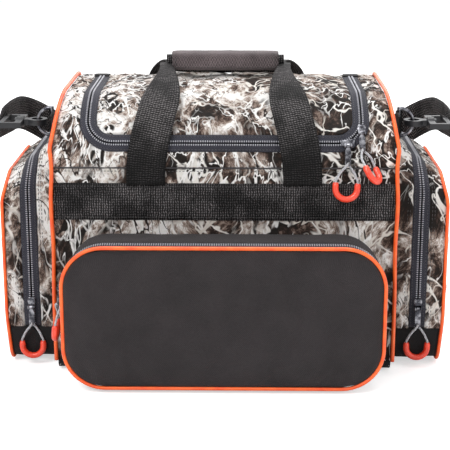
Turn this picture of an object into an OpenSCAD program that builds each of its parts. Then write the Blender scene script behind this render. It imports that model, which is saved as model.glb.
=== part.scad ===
/* [Body] */
// Width between the two end seams
body_w = 356; // [320:1:400]
// Depth of the main body
body_d = 216; // [190:1:250]
// Height of the main body
body_h = 284; // [270:1:310]
// Radius of the front top edge
front_round = 70; // [60:1:80]
// Radius of the rear top edge
rear_round = 45; // [35:1:55]
// Radius of the bottom edges
base_round = 12; // [8:1:16]
// Thickness of the padded panels
panel_t = 4; // [3:0.5:6]
// Thickness of the stiffening board in the base
board_t = 3; // [2:0.5:4]
// Gap round the stiffening board
board_gap = 1; // [0.5:0.5:3]
// Diameter of the piping on the end seams
piping_d = 5; // [4:0.5:7]

/* [Lid] */
// Height of the zip's front run above the start of the front round
lid_zip_rise = 28; // [22:1:34]
// Distance of the zip from the end seams
lid_zip_inset = 40; // [34:1:50]
// Distance of the lid's fold from the back of the body
lid_fold_inset = 46; // [46:1:60]

/* [Zips] */
// Width of each zip tape
tape_w = 8; // [6:0.5:10]
// Thickness of the zip tapes
tape_t = 2; // [1.5:0.5:3]
// Gap between the two tapes
zip_gap = 0.8; // [0.6:0.1:1.2]
// Length of a slider along its zip
slider_l = 14; // [12:1:16]
// Width of a slider across its zip
slider_w = 9; // [8:0.5:11]
// Thickness of a slider
slider_t = 3; // [2.5:0.5:4]
// Clearance under a slider
slider_clear = 0.4; // [0.3:0.1:0.8]
// Radius of the pin that a pull tab turns on
tab_pin_r = 1; // [0.8:0.1:1.2]
// Running clearance round that pin
tab_pin_clear = 0.08; // [0.05:0.01:0.1]
// Length of a pull tab from its pin to its hole
tab_l = 18; // [15:1:22]
// Thickness of the pull cord
cord_d = 2.4; // [2:0.2:2.8]
// Width of the pull loop between its centre lines
loop_w = 22; // [18:1:24]
// Drop of the cord from the tab's hole to the grip
loop_drop = 22; // [18:1:26]
// Diameter of the moulded grip on the loop
grip_d = 6.4; // [5:0.2:7]

/* [Webbing] */
// Width of the webbing
webbing_w = 38; // [25:1:40]
// Thickness of the webbing
webbing_t = 2; // [1.5:0.5:3]
// Distance of the bands' upper edge below the top
band_drop = 82; // [78:1:90]
// Distance between the two legs of a handle
handle_spacing = 158; // [140:1:170]
// Length of the padded wrap on the grip
wrap_l = 112; // [100:1:130]
// Height of the wrap
wrap_h = 20; // [18:1:26]
// Depth of the wrap
wrap_d = 26; // [24:1:30]
// Radius of the rolled webbing in a grip
roll_r = 7; // [6:0.5:8]
// Height of the front grip above the body
front_grip_rise = 27; // [25:1:40]
// Distance of the front grip forward of the middle
front_grip_y = -8; // [-14:1:-6]
// Height of the rear grip above the body
rear_grip_rise = 20; // [18:1:30]
// Distance of the rear grip behind the middle
rear_grip_y = 19; // [19:1:26]

/* [Front pocket] */
// Distance of the front pocket from the end seams
front_pocket_inset = 20; // [16:1:30]
// Depth of the front pocket
front_pocket_d = 60; // [50:1:70]
// Height of the front pocket's lower edge
front_pocket_z = 6; // [6:0.5:10]
// Gap between the front pocket and the band above it
front_pocket_gap = 15; // [10:1:20]
// Corner radius of the front pocket
front_pocket_r = 40; // [30:1:45]
// Distance of its face's fold below its upper edge
front_fold_drop = 64; // [56:1:72]
// Distance of its zip behind the face
front_zip_back = 17; // [14:1:22]

/* [Side pockets] */
// Depth of the side pockets from front to back
side_pocket_w = 170; // [150:1:180]
// How far the side pockets stand out
side_pocket_d = 54; // [45:1:62]
// Height of the side pockets' lower edge
side_pocket_z = 4; // [2:1:10]
// Distance of the side pockets' upper edge below the top
side_pocket_drop = 72; // [70:1:80]
// Corner radius at the top
side_pocket_r = 30; // [24:1:40]
// Corner radius at the bottom
side_pocket_low_r = 14; // [10:1:18]
// Height at which the flap folds
side_fold_z = 40; // [34:1:46]
// Distance of the zip's middle from the body
side_zip_out = 25; // [22:1:28]
// Wall thickness of the pockets
pocket_wall = 3; // [2.5:0.5:4]
// Diameter of the side pockets' piping
side_piping_d = 4; // [3:0.5:5]

/* [Shoulder strap] */
// Distance of the strap's swivels below the top
swivel_drop = 34; // [28:1:35]
// Distance of the swivels in front of the middle
swivel_y = -30; // [-36:1:-20]
// Radius of the swivel pin
swivel_r = 3; // [2.5:0.5:4]
// Running clearance round the swivel pin
swivel_clear = 0.08; // [0.05:0.01:0.1]
// Thickness of the ring's wire
ring_wire_d = 4; // [3:0.5:5]
// Inside width of the ring
ring_in_w = 26; // [24:1:30]
// Length of the tab that holds the ring
ring_tab_l = 34; // [28:1:40]
// Length of the strap's slide
slide_l = 24; // [20:1:30]
// Width of the slide's bars
slide_bar = 5; // [4:0.5:6]

/* [Hidden] */
$fn = 48;
camo = "#5b5048";
charcoal = "#3d393b";
black = "#26262a";
orange = "#ff5a1e";
tape_grey = "#4a4a55";
metal = "#8e8e92";
cord_grey = "#b9b9bd";

hd = body_d / 2;
seam_x = body_w / 2;
inner_x = seam_x - panel_t;
front_cy = -hd + front_round;
front_cz = body_h - front_round;
rear_cy = hd - rear_round;
rear_cz = body_h - rear_round;

zip_x = seam_x - lid_zip_inset;
zip_angle = asin(lid_zip_rise / front_round);
gap_angle = zip_gap / 2 / front_round * 180 / PI;
tape_angle = (zip_gap / 2 + tape_w) / front_round * 180 / PI;
fold_y = hd - lid_fold_inset;

band_top = body_h - band_drop;
band_z = band_top - webbing_w;
band_x = seam_x - piping_d - 0.2;
leg_x = handle_spacing / 2;
anchor_h = 6;
leg_foot_z = band_top + 3;
leg_clear = 0.3;
leg_top_x = wrap_l / 2 + 9;
leg_top_w = 16;
front_lift = 54;
front_bow = 2;
front_reach = 80;
front_dip = -11;
rear_lift = 77;
rear_bow = 6;
rear_reach = 87;
rear_dip = 14;
front_grip_z = body_h + front_grip_rise;
rear_grip_z = body_h + rear_grip_rise;

face_y = -hd - front_pocket_d;
front_zip_y = face_y + front_zip_back;
front_half = seam_x - front_pocket_inset;
front_pocket_top = band_z - front_pocket_gap;
front_fold_z = front_pocket_top - front_fold_drop;
side_half = side_pocket_w / 2;
side_pocket_top = body_h - side_pocket_drop;
side_out = seam_x + side_pocket_d;
side_zip_x = seam_x + side_zip_out;
fold_gap = 0.5;

pin_drop = 3;
pin_out = slider_clear + slider_t + 2.2;
ear_r = 2.2;
knuckle_r = 2;
tab_w = 6;
tab_t = 1.6;
loop_r = loop_w / 2;

side_slider_z = 66;
front_slider_z = front_pocket_top - front_pocket_r;
lid_slider_x = zip_x - 14;
lid_pull_tilt = 9;
corner_slider_angle = zip_angle + 10;
corner_pull_tilt = 32;
lid_loop_lean = -3;
corner_loop_lean = 22;
corner_loop_twist = 55;
front_pull_tilt = 6;

swivel_z = body_h - swivel_drop;
ring_r = (ring_in_w + ring_wire_d) / 2;
ring_x = seam_x + 5;
hook_t = 6;
hook_in_r = 6;
hook_out_r = 10.5;
hook_x = ring_x + ring_r + 1;
stem_end = hook_x + hook_out_r + 3;
eye_gap = 0.5;
eye_in_x = stem_end + eye_gap;
boss_l = 7;
boss_r = swivel_r + 3;
pin_head_r = swivel_r + 1.2;
eye_slot_x = eye_in_x + boss_l;
eye_out_x = eye_in_x + 23;
eye_bar = 5;

// Right half of the strap's route from the eye and round the back, and the direction of the webbing's
// width at each point
eye = [eye_out_x, swivel_y, swivel_z];
rear = [eye_out_x, hd, swivel_z];
run = body_w / 356;
strap_half = [
  [eye + run * [0.6, 0, -1], [0, 1, 0]],
  [eye + run * [8, 7, -7], [-0.3, 0.8, 0.5]],
  [eye + run * [10, 24, -9], [-0.3, 0.2, 0.93]],
  [eye + run * [9, 55, -10], [-0.2, 0, 0.98]],
  [rear + run * [6, -48, -11], [-0.1, 0, 1]],
  [rear + run * [2, -14, -14], [-0.1, -0.1, 1]],
  [rear + run * [-10, 10, -24], [0, -0.1, 1]],
  [rear + run * [-36, 24, -44], [0.2, 0, 0.98]],
  [rear + run * [-76, 28, -72], [0.3, 0, 0.95]],
  [rear + run * [-121, 30, -95], [0.25, 0, 0.97]],
  [rear + run * [-176, 31, -111], [0.12, 0, 0.99]],
  [[0, hd + 31 * run, swivel_z - 116 * run], [0, 0, 1]]
];

function arc(cu, cv, r, a0, a1, n) =
  [for (i = [0:n]) let (a = a0 + (a1 - a0) * i / n) [cu + r * cos(a), cv + r * sin(a)]];
function back(list) = [for (i = [len(list) - 1:-1:0]) list[i]];
function band_of(outer, inner) = concat(outer, back(inner));
function unit(v) = v / norm(v);
function spin(p, a) = [p[0] * cos(a) - p[1] * sin(a), p[0] * sin(a) + p[1] * cos(a), p[2]];
function tangent(p, i) = unit(p[min(i + 1, len(p) - 1)] - p[max(i - 1, 0)]);
function bezier(a, b, c, d, n) =
  [for (i = [0:n]) let (t = i / n, s = 1 - t)
    s * s * s * a + 3 * s * s * t * b + 3 * s * t * t * c + t * t * t * d];
function spline_at(p, i, t) =
  let (a = p[max(i - 1, 0)], b = p[i], c = p[i + 1], d = p[min(i + 2, len(p) - 1)])
  0.5 * (2 * b + (c - a) * t + (2 * a - 5 * b + 4 * c - d) * t * t
    + (3 * b - a - 3 * c + d) * t * t * t);
function spline(p, n) =
  concat([for (i = [0:len(p) - 2]) for (k = [0:n - 1]) spline_at(p, i, k / n)], [p[len(p) - 1]]);
function length_of(p, i = 0) = i >= len(p) - 1 ? 0 : norm(p[i + 1] - p[i]) + length_of(p, i + 1);

// Outline of the body seen from the end, drawn in by i
function front_side(i, a) = arc(front_cy, front_cz, front_round - i, 180, 180 - a, 10);
function top_side(i, a) =
  concat(arc(front_cy, front_cz, front_round - i, 180 - a, 90, 10), [[fold_y - zip_gap / 2, body_h - i]]);
function rear_side(i) =
  concat([[fold_y + zip_gap / 2, body_h - i]], arc(rear_cy, rear_cz, rear_round - i, 90, 0, 8));
function base_side(i) = concat(
  arc(-hd + base_round, base_round, base_round - i, 180, 270, 4),
  arc(hd - base_round, base_round, base_round - i, -90, 0, 4));
function end_outline(i) =
  concat(base_side(i), back(concat(front_side(i, 90), rear_side(i))));

// Outline of a pocket above or below its fold, half width h, drawn in by i
function high_outline(h, fold, top, r, i) = concat(
  [[-h + i, fold]], arc(-h + r, top - r, r - i, 180, 90, 8), arc(h - r, top - r, r - i, 90, 0, 8),
  [[h - i, fold]]);
function low_outline(h, fold, low, r, i) = concat(
  [[-h + i, fold]], arc(-h + r, low + r, r - i, 180, 270, 8), arc(h - r, low + r, r - i, -90, 0, 8),
  [[h - i, fold]]);
function side_high(i, z0) = high_outline(side_half, z0, side_pocket_top, side_pocket_r, i);
function side_low(i) = low_outline(side_half, side_fold_z, side_pocket_z, side_pocket_low_r, i);
function front_high(i, z0) = high_outline(front_half, z0, front_pocket_top, front_pocket_r, i);
function front_low(i) = low_outline(front_half, front_fold_z, front_pocket_z, front_pocket_r, i);

module along_x(x0, x1) translate([x0, 0, 0]) rotate([90, 0, 90]) linear_extrude(x1 - x0) children();
module along_y(y0, y1) translate([0, y1, 0]) rotate([90, 0, 0]) linear_extrude(y1 - y0) children();
module right_and_left() {
  children();
  mirror([1, 0, 0]) children();
}

// Closed skin over a list of rings with equal numbers of points
module skin(rings) {
  n = len(rings[0]);
  m = len(rings);
  sides = [for (j = [0:m - 2]) for (i = [0:n - 1]) let (k = (i + 1) % n)
    each [[j * n + i, j * n + k, j * n + n + k], [j * n + i, j * n + n + k, j * n + n + i]]];
  first = [for (i = [n - 1:-1:0]) i];
  last = [for (i = [0:n - 1]) (m - 1) * n + i];
  polyhedron(points = [for (r = rings) each r], faces = concat([first, last], sides));
}
module tube(p, d, sides, across) {
  skin([for (i = [0:len(p) - 1])
    let (t = tangent(p, i), u = unit(across - (across * t) * t), v = cross(t, u))
    [for (k = [0:sides - 1]) let (a = -360 * k / sides) p[i] + d / 2 * (cos(a) * u + sin(a) * v)]]);
}
module ribbon(p, half_width, t) {
  skin([for (i = [0:len(p) - 1])
    let (w = half_width[i], n = t / 2 * unit(cross(tangent(p, i), w)))
    [p[i] + w + n, p[i] + w - n, p[i] - w - n, p[i] - w + n]]);
}

module body_front_panel() color(camo) along_x(-inner_x, inner_x)
  polygon(band_of(
    concat([[-hd, base_round]], front_side(0, zip_angle - tape_angle)),
    concat([[-hd + panel_t, base_round]], front_side(panel_t, zip_angle - tape_angle))));
module body_back_panel() color(camo) along_x(-inner_x, inner_x)
  polygon(band_of(
    concat(rear_side(0), [[hd, base_round]]), concat(rear_side(panel_t), [[hd - panel_t, base_round]])));
module base_panel() color(black) along_x(-inner_x, inner_x)
  polygon(band_of(base_side(0), base_side(panel_t)));
module base_board() color(charcoal) translate([-inner_x + board_gap, -hd + base_round, panel_t])
  cube([2 * (inner_x - board_gap), body_d - 2 * base_round, board_t]);
module end_panel() color(camo) along_x(inner_x, seam_x) polygon(end_outline(0));
module right_end_panel() end_panel();
module left_end_panel() mirror([1, 0, 0]) end_panel();
module top_border() color(camo) right_and_left()
  along_x(zip_x + zip_gap / 2 + tape_w, inner_x) polygon(band_of(
    concat(top_side(0, zip_angle - tape_angle), [[fold_y + zip_gap / 2, body_h]]),
    concat(top_side(panel_t, zip_angle - tape_angle), [[fold_y + zip_gap / 2, body_h - panel_t]])));
module end_piping() color(orange) right_and_left()
  tube([for (q = concat([[-hd - piping_d / 2, base_round]], front_side(-piping_d / 2, 90),
      rear_side(-piping_d / 2), [[hd + piping_d / 2, base_round]]))
    [seam_x - piping_d / 2, q[0], q[1]]], piping_d, 8, [1, 0, 0]);
module band(y) color(black) translate([-band_x, y, band_z]) cube([2 * band_x, webbing_t, webbing_w]);
module front_band() band(-hd - webbing_t);
module rear_band() band(hd);

module front_zip_strip(i0, i1, a0, a1, x) along_x(-x, x) polygon(band_of(
  arc(front_cy, front_cz, front_round - i0, 180 - a0, 180 - a1, 4),
  arc(front_cy, front_cz, front_round - i1, 180 - a0, 180 - a1, 4)));
module side_zip_strip(a, x0, x1) right_and_left() along_x(x0, x1)
  polygon(band_of(top_side(0, a), top_side(tape_t, a)));
module lid_zip_body_tape() color(tape_grey) union() {
  front_zip_strip(0, tape_t, zip_angle - tape_angle, zip_angle - gap_angle, zip_x + zip_gap / 2 + tape_w);
  side_zip_strip(zip_angle - gap_angle, zip_x + zip_gap / 2, zip_x + zip_gap / 2 + tape_w);
}
module lid_zip_lid_tape() color(tape_grey) union() {
  front_zip_strip(0, tape_t, zip_angle + gap_angle, zip_angle + tape_angle, zip_x - zip_gap / 2);
  side_zip_strip(zip_angle + tape_angle, zip_x - zip_gap / 2 - tape_w, zip_x - zip_gap / 2);
}
module lid_panel() color(camo)
  along_x(-zip_x + zip_gap / 2 + tape_w, zip_x - zip_gap / 2 - tape_w)
  polygon(band_of(top_side(0, zip_angle + tape_angle), top_side(panel_t, zip_angle + tape_angle)));

// A handle leg rises from its foot and bends over to the grip, where the webbing is folded narrow
module handle_leg(front, grip_y, grip_z, lift, bow, reach, dip) {
  foot = [leg_x, front * (hd + 1.5 * webbing_t + leg_clear), leg_foot_z];
  top = [leg_top_x, grip_y, grip_z];
  p = bezier(foot, foot + [0, front * bow, lift], top + [10, front * reach, dip], top, 12);
  w = [for (i = [0:12]) let (k = max(0, i / 6 - 1))
    [(webbing_w / 2) * (1 - k) + (leg_top_w / 2) * k, 0, 0]];
  ribbon(p, w, webbing_t);
}
module grip_roll(y, z) translate([-leg_top_x, y, z]) rotate([0, 90, 0]) cylinder(r = roll_r, h = 2 * leg_top_x);
module front_handle_webbing() color(black) union() {
  right_and_left() handle_leg(-1, front_grip_y, front_grip_z, front_lift, front_bow, front_reach, front_dip);
  grip_roll(front_grip_y, front_grip_z);
}
module rear_handle_webbing() color(black) union() {
  right_and_left() handle_leg(1, rear_grip_y, rear_grip_z, rear_lift, rear_bow, rear_reach, rear_dip);
  grip_roll(rear_grip_y, rear_grip_z);
}
module grip_wrap() color(charcoal) translate([0, front_grip_y, front_grip_z]) difference() {
  along_x(-wrap_l / 2, wrap_l / 2) polygon(concat(
    arc(wrap_d / 2 - wrap_h / 2 + 1, 0, wrap_h / 2, -90, 90, 12),
    arc(-wrap_d / 2 + wrap_h / 2 - 1, 0, wrap_h / 2, 90, 270, 12)));
  translate([-wrap_l, 0, 0]) rotate([0, 90, 0]) cylinder(r = roll_r + 0.05, h = 2 * wrap_l);
}
module handle_anchors(front) color(black) right_and_left()
  translate([leg_x - webbing_w / 2, front < 0 ? -hd - webbing_t : hd, band_top])
  cube([webbing_w, webbing_t, anchor_h]);
module front_handle_anchors() handle_anchors(-1);
module rear_handle_anchors() handle_anchors(1);

module front_pocket_gusset() color(charcoal) union() {
  along_y(front_zip_y + zip_gap / 2 + tape_w, -hd)
    polygon(band_of(front_high(0, front_fold_z), front_high(pocket_wall, front_fold_z)));
  along_y(face_y + pocket_wall, -hd) polygon(band_of(front_low(0), front_low(pocket_wall)));
}
module front_pocket_lower_face() color(charcoal) along_y(face_y, face_y + pocket_wall) polygon(front_low(0));
module front_pocket_flap() color(charcoal) union() {
  z0 = front_fold_z + fold_gap;
  along_y(face_y, face_y + pocket_wall) polygon(front_high(0, z0));
  along_y(face_y, front_zip_y - zip_gap / 2 - tape_w)
    polygon(band_of(front_high(0, z0), front_high(pocket_wall, z0)));
}
module front_pocket_piping(p) color(orange)
  tube([for (q = p) [q[0], face_y + piping_d / 2, q[1]]], piping_d, 8, [0, 1, 0]);
module front_pocket_flap_piping() front_pocket_piping(front_high(-piping_d / 2, front_fold_z + fold_gap));
module front_pocket_lower_piping() front_pocket_piping(front_low(-piping_d / 2));
module front_zip_tape(y0) color(tape_grey) along_y(y0, y0 + tape_w) polygon(band_of(
  front_high(0, front_fold_z + fold_gap), front_high(tape_t, front_fold_z + fold_gap)));
module front_pocket_zip_inner() front_zip_tape(front_zip_y + zip_gap / 2);
module front_pocket_zip_outer() front_zip_tape(front_zip_y - zip_gap / 2 - tape_w);

module pocket_shell() color(camo) union() {
  along_x(seam_x, side_zip_x - zip_gap / 2 - tape_w)
    polygon(band_of(side_high(0, side_fold_z), side_high(pocket_wall, side_fold_z)));
  along_x(seam_x, side_out) polygon(band_of(side_low(0), side_low(pocket_wall)));
  along_x(side_out - pocket_wall, side_out) polygon(side_low(0));
}
module pocket_flap() color(camo) union() {
  z0 = side_fold_z + fold_gap;
  along_x(side_out - pocket_wall, side_out) polygon(side_high(0, z0));
  along_x(side_zip_x + zip_gap / 2 + tape_w, side_out)
    polygon(band_of(side_high(0, z0), side_high(pocket_wall, z0)));
}
module pocket_piping() color(orange)
  tube([for (q = side_high(-side_piping_d / 2, side_fold_z + side_piping_d))
    [side_out - side_piping_d / 2, q[0], q[1]]], side_piping_d, 8, [1, 0, 0]);
module side_zip_tape(x0) color(tape_grey) along_x(x0, x0 + tape_w) polygon(band_of(
  side_high(0, side_fold_z + fold_gap), side_high(tape_t, side_fold_z + fold_gap)));
module left_pocket_shell() mirror([1, 0, 0]) pocket_shell();
module right_pocket_shell() pocket_shell();
module left_pocket_flap() mirror([1, 0, 0]) pocket_flap();
module right_pocket_flap() pocket_flap();
module left_pocket_piping() mirror([1, 0, 0]) pocket_piping();
module right_pocket_piping() pocket_piping();
module side_pocket_zip_inner() right_and_left() side_zip_tape(side_zip_x - zip_gap / 2 - tape_w);
module left_pocket_zip_outer() mirror([1, 0, 0]) side_zip_tape(side_zip_x + zip_gap / 2);
module right_pocket_zip_outer() side_zip_tape(side_zip_x + zip_gap / 2);

// A slider on a surface that faces forward, its zip running up, or across when turned
module slider(across) color(metal) difference() {
  union() {
    translate([0, -slider_clear - slider_t, 0]) rotate([0, across ? 90 : 0, 0])
      translate([-slider_w / 2, 0, -slider_l / 2]) cube([slider_w, slider_t, slider_l]);
    for (x = [-knuckle_r - 2, knuckle_r + 0.2]) translate([x, 0, 0]) {
      translate([0, -pin_out, -pin_drop]) rotate([0, 90, 0]) cylinder(r = ear_r, h = 1.8);
      translate([0, -pin_out, -pin_drop - ear_r]) cube([1.8, pin_out - slider_clear, 2 * ear_r]);
    }
    translate([-knuckle_r - 1, -pin_out, -pin_drop]) rotate([0, 90, 0])
      cylinder(r = tab_pin_r, h = 2 * knuckle_r + 2);
  }
  translate([-slider_w, -slider_clear, -slider_l]) cube([2 * slider_w, slider_l, 2 * slider_l]);
}
// The tab hangs from its pin at the origin, the cord and its grip from the tab's hole
module pull_tab() color(metal) difference() {
  union() {
    translate([-knuckle_r, 0, 0]) rotate([0, 90, 0]) cylinder(r = knuckle_r, h = 2 * knuckle_r);
    translate([-knuckle_r, -tab_t / 2, -ear_r - 2]) cube([2 * knuckle_r, tab_t, ear_r + 2]);
    translate([-tab_w / 2, -tab_t / 2, -tab_l]) cube([tab_w, tab_t, tab_l - ear_r - 1]);
    translate([0, tab_t / 2, -tab_l]) rotate([90, 0, 0]) cylinder(r = tab_w / 2, h = tab_t);
  }
  translate([-tab_w, 0, 0]) rotate([0, 90, 0]) cylinder(r = tab_pin_r + tab_pin_clear, h = 2 * tab_w);
  translate([0, tab_t, -tab_l]) rotate([90, 0, 0]) cylinder(r = cord_d / 2 + 0.8, h = 2 * tab_t);
}
module pull_cord(twist) color(cord_grey) {
  loop = [for (z = [0, 2, 4]) spin([loop_r, 0, z - loop_drop], twist)];
  side = concat(loop, [spin([loop_r * 0.66, 1, -loop_drop * 0.45], twist * 0.6), [2.6, 2.4, -3.6],
    [0.4, 1.9, -0.7]]);
  other = [for (q = back(side)) [-q[0], -q[1], q[2]]];
  tube(spline(concat(side, [[0, 0, 0]], other), 3), cord_d, 6, [0.3, 0.9, 0.1]);
}
module pull_grip(twist) color(orange) rotate([0, 0, twist])
  tube(concat([[loop_r, 0, -loop_drop]],
    [for (q = arc(0, -loop_drop - 3, loop_r, 0, -180, 12)) [q[0], 0, q[1]]], [[-loop_r, 0, -loop_drop]]),
    grip_d, 8, [0, 1, 0]);

// Places of the sliders and of the pins that their pulls hang on
module on_front_round(x, a) translate([x, front_cy - front_round * cos(a), front_cz + front_round * sin(a)])
  rotate([-a, 0, 0]) children();
module at_slider_pin() translate([0, -pin_out, -pin_drop]) children();
module at_lid_pull(x, a, tilt)
  on_front_round(x, a) at_slider_pin() rotate([a - tilt, 0, 0]) children();
module at_loop(lean) translate([0, 0, -tab_l]) rotate([0, -lean, 0]) children();
module at_front_pull() at_lid_pull(lid_slider_x, zip_angle, lid_pull_tilt) children();
module at_corner_pull() at_lid_pull(zip_x, corner_slider_angle, corner_pull_tilt) children();
module at_side_slider() translate([side_zip_x, -side_half, side_slider_z]) children();
module at_left_slider() mirror([1, 0, 0]) at_side_slider() children();
module at_front_pocket_pull() at_front_slider() at_slider_pin() rotate([-front_pull_tilt, 0, 0]) children();
module at_front_slider() translate([-front_half, front_zip_y, front_slider_z]) rotate([0, 0, -90]) children();

module lid_front_slider() on_front_round(lid_slider_x, zip_angle) slider(true);
module lid_front_pull_tab() at_front_pull() pull_tab();
module lid_front_pull_cord() at_front_pull() at_loop(lid_loop_lean) pull_cord(0);
module lid_front_pull_grip() at_front_pull() at_loop(lid_loop_lean) pull_grip(0);
module lid_corner_slider() on_front_round(zip_x, corner_slider_angle) slider(false);
module lid_corner_pull_tab() at_corner_pull() pull_tab();
module lid_corner_pull_cord() at_corner_pull() at_loop(corner_loop_lean) pull_cord(corner_loop_twist);
module lid_corner_pull_grip() at_corner_pull() at_loop(corner_loop_lean) pull_grip(corner_loop_twist);
module left_pocket_slider() at_left_slider() slider(false);
module left_pocket_pull_tab() at_left_slider() at_slider_pin() pull_tab();
module left_pocket_pull_cord() at_left_slider() at_slider_pin() at_loop(0) pull_cord(0);
module left_pocket_pull_grip() at_left_slider() at_slider_pin() at_loop(0) pull_grip(0);
module right_pocket_slider() at_side_slider() slider(false);
module right_pocket_pull_tab() at_side_slider() at_slider_pin() pull_tab();
module right_pocket_pull_cord() at_side_slider() at_slider_pin() at_loop(0) pull_cord(0);
module right_pocket_pull_grip() at_side_slider() at_slider_pin() at_loop(0) pull_grip(0);
module front_pocket_slider() at_front_slider() slider(false);
module front_pocket_pull_tab() at_front_pocket_pull() pull_tab();
module front_pocket_pull_cord() at_front_pocket_pull() at_loop(0) pull_cord(0);
module front_pocket_pull_grip() at_front_pocket_pull() at_loop(0) pull_grip(0);

module at_swivel(x) translate([x, swivel_y, swivel_z]) children();
module ring_tabs() color(black) right_and_left() at_swivel(ring_x) difference() {
  union() {
    translate([seam_x - ring_x, -ring_tab_l, -ring_in_w / 2 + 1]) cube([2.5, ring_tab_l, ring_in_w - 2]);
    translate([0, 0, -ring_in_w / 2 + 1]) cylinder(r = ring_x - seam_x, h = ring_in_w - 2);
  }
  translate([0, 0, -ring_in_w]) cylinder(r = ring_wire_d / 2 + 0.05, h = 2 * ring_in_w);
}
module d_rings() color(metal) right_and_left() at_swivel(ring_x) union() {
  translate([0, 0, -ring_r]) cylinder(d = ring_wire_d, h = 2 * ring_r);
  for (z = [-ring_r, ring_r]) translate([0, 0, z]) sphere(d = ring_wire_d);
  rotate([90, 0, 0]) rotate([0, 0, -90]) rotate_extrude(angle = 180)
    translate([ring_r, 0]) circle(d = ring_wire_d);
}
module snap_hooks() color(black) right_and_left() at_swivel(0) union() {
  translate([hook_x, 0, -hook_t / 2]) difference() {
    union() {
      cylinder(r = hook_out_r, h = hook_t);
      translate([0, -hook_out_r / 2, 0]) cube([stem_end - hook_x, hook_out_r, hook_t]);
    }
    translate([0, 0, -1]) cylinder(r = hook_in_r, h = hook_t + 2);
  }
  translate([stem_end - 2, 0, 0]) rotate([0, 90, 0]) cylinder(r = swivel_r, h = boss_l + eye_gap + 4);
  translate([eye_slot_x + eye_gap, 0, 0]) rotate([0, 90, 0]) cylinder(r = pin_head_r, h = 2);
}
module strap_eyes() color(black) right_and_left() at_swivel(0) difference() {
  union() {
    translate([eye_in_x, -webbing_w / 2 - eye_bar, -hook_t / 2])
      cube([eye_out_x - eye_in_x, webbing_w + 2 * eye_bar, hook_t]);
    translate([eye_in_x, 0, 0]) rotate([0, 90, 0]) cylinder(r = boss_r, h = boss_l);
  }
  translate([eye_slot_x, -webbing_w / 2 - 0.5, -hook_t])
    cube([eye_out_x - eye_bar - eye_slot_x, webbing_w + 1, 2 * hook_t]);
  translate([eye_in_x - 1, 0, 0]) rotate([0, 90, 0]) cylinder(r = swivel_r + swivel_clear, h = boss_l + 2);
}
strap_points = concat([for (s = strap_half) s[0]], [for (i = [len(strap_half) - 2:-1:0])
  [-strap_half[i][0][0], strap_half[i][0][1], strap_half[i][0][2]]]);
strap_widths = concat([for (s = strap_half) s[1]], [for (i = [len(strap_half) - 2:-1:0])
  [-strap_half[i][1][0], strap_half[i][1][1], strap_half[i][1][2]]]);
module strap_webbing() color(black) {
  p = spline(strap_points, 3);
  w = spline(strap_widths, 3);
  ribbon(p, [for (v = w) webbing_w / 2 * unit(v)], webbing_t);
}
module strap_slide() color(black) {
  middle = strap_half[len(strap_half) - 1][0];
  translate(middle) difference() {
    translate([-slide_l / 2, -webbing_t / 2 - 2, -webbing_w / 2 - slide_bar])
      cube([slide_l, webbing_t + 4, webbing_w + 2 * slide_bar]);
    translate([-slide_l, -webbing_t / 2 - 0.3, -webbing_w / 2 - 1])
      cube([2 * slide_l, webbing_t + 0.6, webbing_w + 3]);
  }
}
echo(strap_length = length_of(spline(strap_points, 3)));

body_front_panel();
body_back_panel();
base_panel();
base_board();
right_end_panel();
left_end_panel();
top_border();
end_piping();
front_band();
rear_band();
lid_zip_body_tape();
lid_zip_lid_tape();
lid_panel();
front_handle_webbing();
rear_handle_webbing();
grip_wrap();
front_handle_anchors();
rear_handle_anchors();
front_pocket_gusset();
front_pocket_lower_face();
front_pocket_flap();
front_pocket_flap_piping();
front_pocket_lower_piping();
front_pocket_zip_inner();
front_pocket_zip_outer();
left_pocket_shell();
right_pocket_shell();
left_pocket_flap();
right_pocket_flap();
left_pocket_piping();
right_pocket_piping();
side_pocket_zip_inner();
left_pocket_zip_outer();
right_pocket_zip_outer();
lid_front_slider();
lid_front_pull_tab();
lid_front_pull_cord();
lid_front_pull_grip();
lid_corner_slider();
lid_corner_pull_tab();
lid_corner_pull_cord();
lid_corner_pull_grip();
left_pocket_slider();
left_pocket_pull_tab();
left_pocket_pull_cord();
left_pocket_pull_grip();
right_pocket_slider();
right_pocket_pull_tab();
right_pocket_pull_cord();
right_pocket_pull_grip();
front_pocket_slider();
front_pocket_pull_tab();
front_pocket_pull_cord();
front_pocket_pull_grip();
ring_tabs();
d_rings();
snap_hooks();
strap_eyes();
strap_webbing();
strap_slide();
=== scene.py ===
# %% [markdown]
# A soft tackle bag. The solids of the imported model give every size and every moving body. This script dresses
# them in cloth, webbing, zips, piping and hardware. It starts by loading the solids with their placing baked
# in.

# %% The frame
import math

import bmesh
import bpy
from mathutils import Matrix, Vector, noise


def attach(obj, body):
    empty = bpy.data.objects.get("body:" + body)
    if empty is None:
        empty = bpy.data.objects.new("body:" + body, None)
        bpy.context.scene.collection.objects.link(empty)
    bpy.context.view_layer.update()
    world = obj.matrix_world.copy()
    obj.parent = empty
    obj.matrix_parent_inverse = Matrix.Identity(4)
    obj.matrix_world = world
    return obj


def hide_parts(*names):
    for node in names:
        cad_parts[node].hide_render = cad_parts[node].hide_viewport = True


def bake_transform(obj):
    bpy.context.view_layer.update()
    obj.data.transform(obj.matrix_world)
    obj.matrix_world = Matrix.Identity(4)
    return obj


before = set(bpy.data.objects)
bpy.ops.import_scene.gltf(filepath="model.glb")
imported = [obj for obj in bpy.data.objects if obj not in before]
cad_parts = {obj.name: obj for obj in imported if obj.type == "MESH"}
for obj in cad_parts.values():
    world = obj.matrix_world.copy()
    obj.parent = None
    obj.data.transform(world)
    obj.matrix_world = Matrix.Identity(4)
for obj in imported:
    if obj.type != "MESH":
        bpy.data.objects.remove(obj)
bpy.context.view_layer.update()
MM = 0.001

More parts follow.
